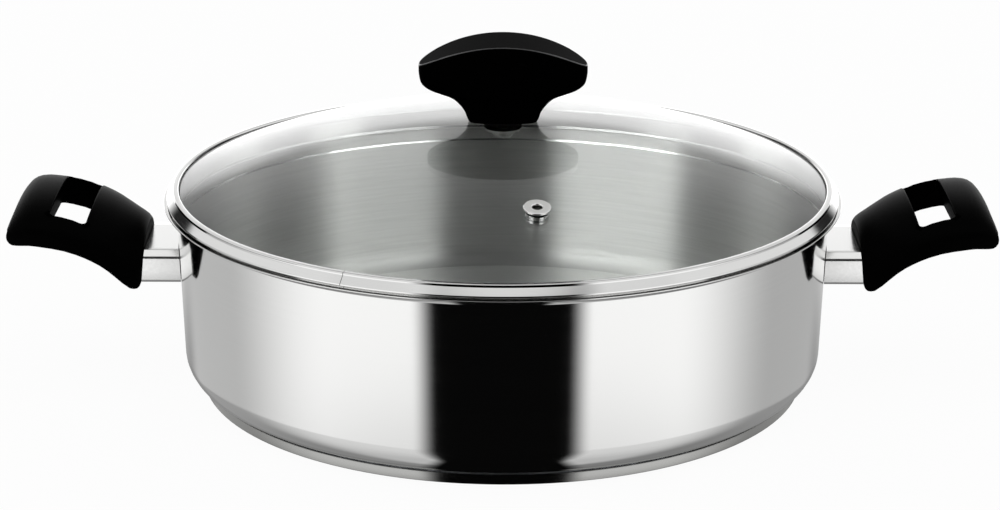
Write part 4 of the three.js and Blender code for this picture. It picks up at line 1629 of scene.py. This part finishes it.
    def light(self) -> None:
        """Light the object by a soft studio: table, front boxes, backdrop and a box above."""
        world = bpy.data.worlds.new("soft_studio")
        bpy.context.scene.world = world
        world.use_nodes = True
        tree = world.node_tree
        way = add_node(tree, "TexCoord").outputs["Generated"]
        split = add_node(tree, "SeparateXYZ", None, {0: way})
        path = add_node(tree, "LightPath")
        known = {socket.name: socket for node in (split, path) for socket in node.outputs}
        # Each row names what it gives. A Math operation, or a Mix by its first input, works on
        # numbers and on names from above it; a MapRange fades smoothly, between two angles in
        # degrees, from one level to another.
        for name, kind, *inputs in (
            ("towards", "MULTIPLY", "Y", -1.0),
            ("turn", "ARCTAN2", "X", "towards"),
            ("aside", "ABSOLUTE", "turn"),
            ("rise", "ARCSINE", "Z"),
            ("sideways", "ARCSINE", "X"),
            ("from_gap", "SUBTRACT", "sideways", self.box_gap),
            ("off", "ABSOLUTE", "from_gap"),
            ("inside", "GREATER_THAN", "Transmission Depth", 0.5),
            # The front boxes, with the dark gap between them.
            ("gap", "MapRange", "off", 15, 24.5, 0.01, 1.0),
            ("box_height", "MapRange", "rise", 34, 46, 3.7, 1.0),
            ("box_left", "MapRange", "turn", -20, 20, 1.55, 1.0),
            ("box_inside", "MULTIPLY", "box_height", "box_left"),
            ("box", "Mix", "inside", self.box_level, "box_inside"),
            ("front", "MULTIPLY", "gap", "box"),
            # The sides, dark up to where the boxes above them start.
            ("above", "MapRange", "rise", 12, 15, 0.02, 0.9),
            ("above_inside", "MapRange", "rise", 25, 31, 0.02, 0.9),
            ("sides", "Mix", "inside", "above", "above_inside"),
            # The backdrop, brightest at the horizon and shaded under the lid.
            ("sweep", "MapRange", "rise", 20, 48, 1.0, 0.3),
            ("horizon", "MapRange", "rise", 11.5, 18, 1.95, 0.84),
            ("shade", "Mix", "inside", 1.0, self.lid_shade),
            ("backdrop", "MULTIPLY", "sweep", "horizon"),
            ("back", "MULTIPLY", "backdrop", "shade"),
            # The box above, whose middle the knob hides from the pot's inside.
            ("zenith", "MapRange", "aside", 100, 150, 0.97, 0.25),
            ("zenith_inside", "MapRange", "off", 7, 24, 0.03, 0.55),
            ("top", "Mix", "inside", "zenith", "zenith_inside"),
            ("to_sides", "MapRange", "aside", 69, 74, 0.0, 1.0),
            ("to_back", "MapRange", "aside", 142, 156, 0.0, 1.0),
            ("to_zenith", "MapRange", "rise", 50, 57, 0.0, 1.0),
            ("front_and_sides", "Mix", "to_sides", "front", "sides"),
            ("all_round", "Mix", "to_back", "front_and_sides", "back"),
            ("upper", "Mix", "to_zenith", "all_round", "top"),
            # The table below, darker near the pot.
            ("table", "MapRange", "aside", 62, 112, 1.0, 0.42),
            ("table_height", "MapRange", "rise", -26.4, -23.8, 0.82, 1.22),
            ("table_left", "MapRange", "turn", -112, -62, 1.15, 1.0),
            ("table_edge", "MULTIPLY", "table", "table_height"),
            ("table_front", "MULTIPLY", "table_edge", "table_left"),
            ("table_back", "MapRange", "rise", -22, -12, 0.3, 1.6),
            ("table_round", "Mix", "to_back", "table_front", "table_back"),
            ("table_near", "MapRange", "rise", -62, -27, 0.72, 1.0),
            ("lower", "MULTIPLY", "table_round", "table_near"),
            ("off_table", "MapRange", "rise", -8, -2, 0.0, 1.0),
            ("whole", "Mix", "off_table", "lower", "upper"),
            # The camera sees plain white, also through clean glass.
            ("unmirrored", "LESS_THAN", "Glossy Depth", 0.5),
            ("clear", "MULTIPLY", "unmirrored", "Is Transmission Ray"),
            ("plain", "MAXIMUM", "clear", "Is Camera Ray"),
            ("shown", "Mix", "plain", "whole", 1.0),
        ):
            values = [known[v] if isinstance(v, str) else v for v in inputs]
            if kind == "MapRange":
                values[1:3] = [math.radians(angle) for angle in values[1:3]]
                sockets = ("Value", "From Min", "From Max", "To Min", "To Max")
                settings = {"interpolation_type": "SMOOTHSTEP"}
                node = add_node(tree, kind, settings, dict(zip(sockets, values)))
            elif kind == "Mix":
                node = add_node(tree, kind, None, dict(zip((0, 2, 3), values)))
            else:
                node = add_node(tree, "Math", {"operation": kind}, dict(enumerate(values)))
            known[name] = node.outputs[0]
        tree.links.new(known["shown"], tree.nodes["Background"].inputs["Color"])


def main() -> None:
    """Build every piece of the casserole and the studio around it."""
    logging.basicConfig(level=logging.INFO, format="%(name)s: %(message)s")
    PotShell().build()
    CappedBase().build()
    for side in Side:
        SideHandle(side).build()
    Lid().build()
    LidKnob().build()
    Studio().build()


if __name__ == "__main__":
    main()
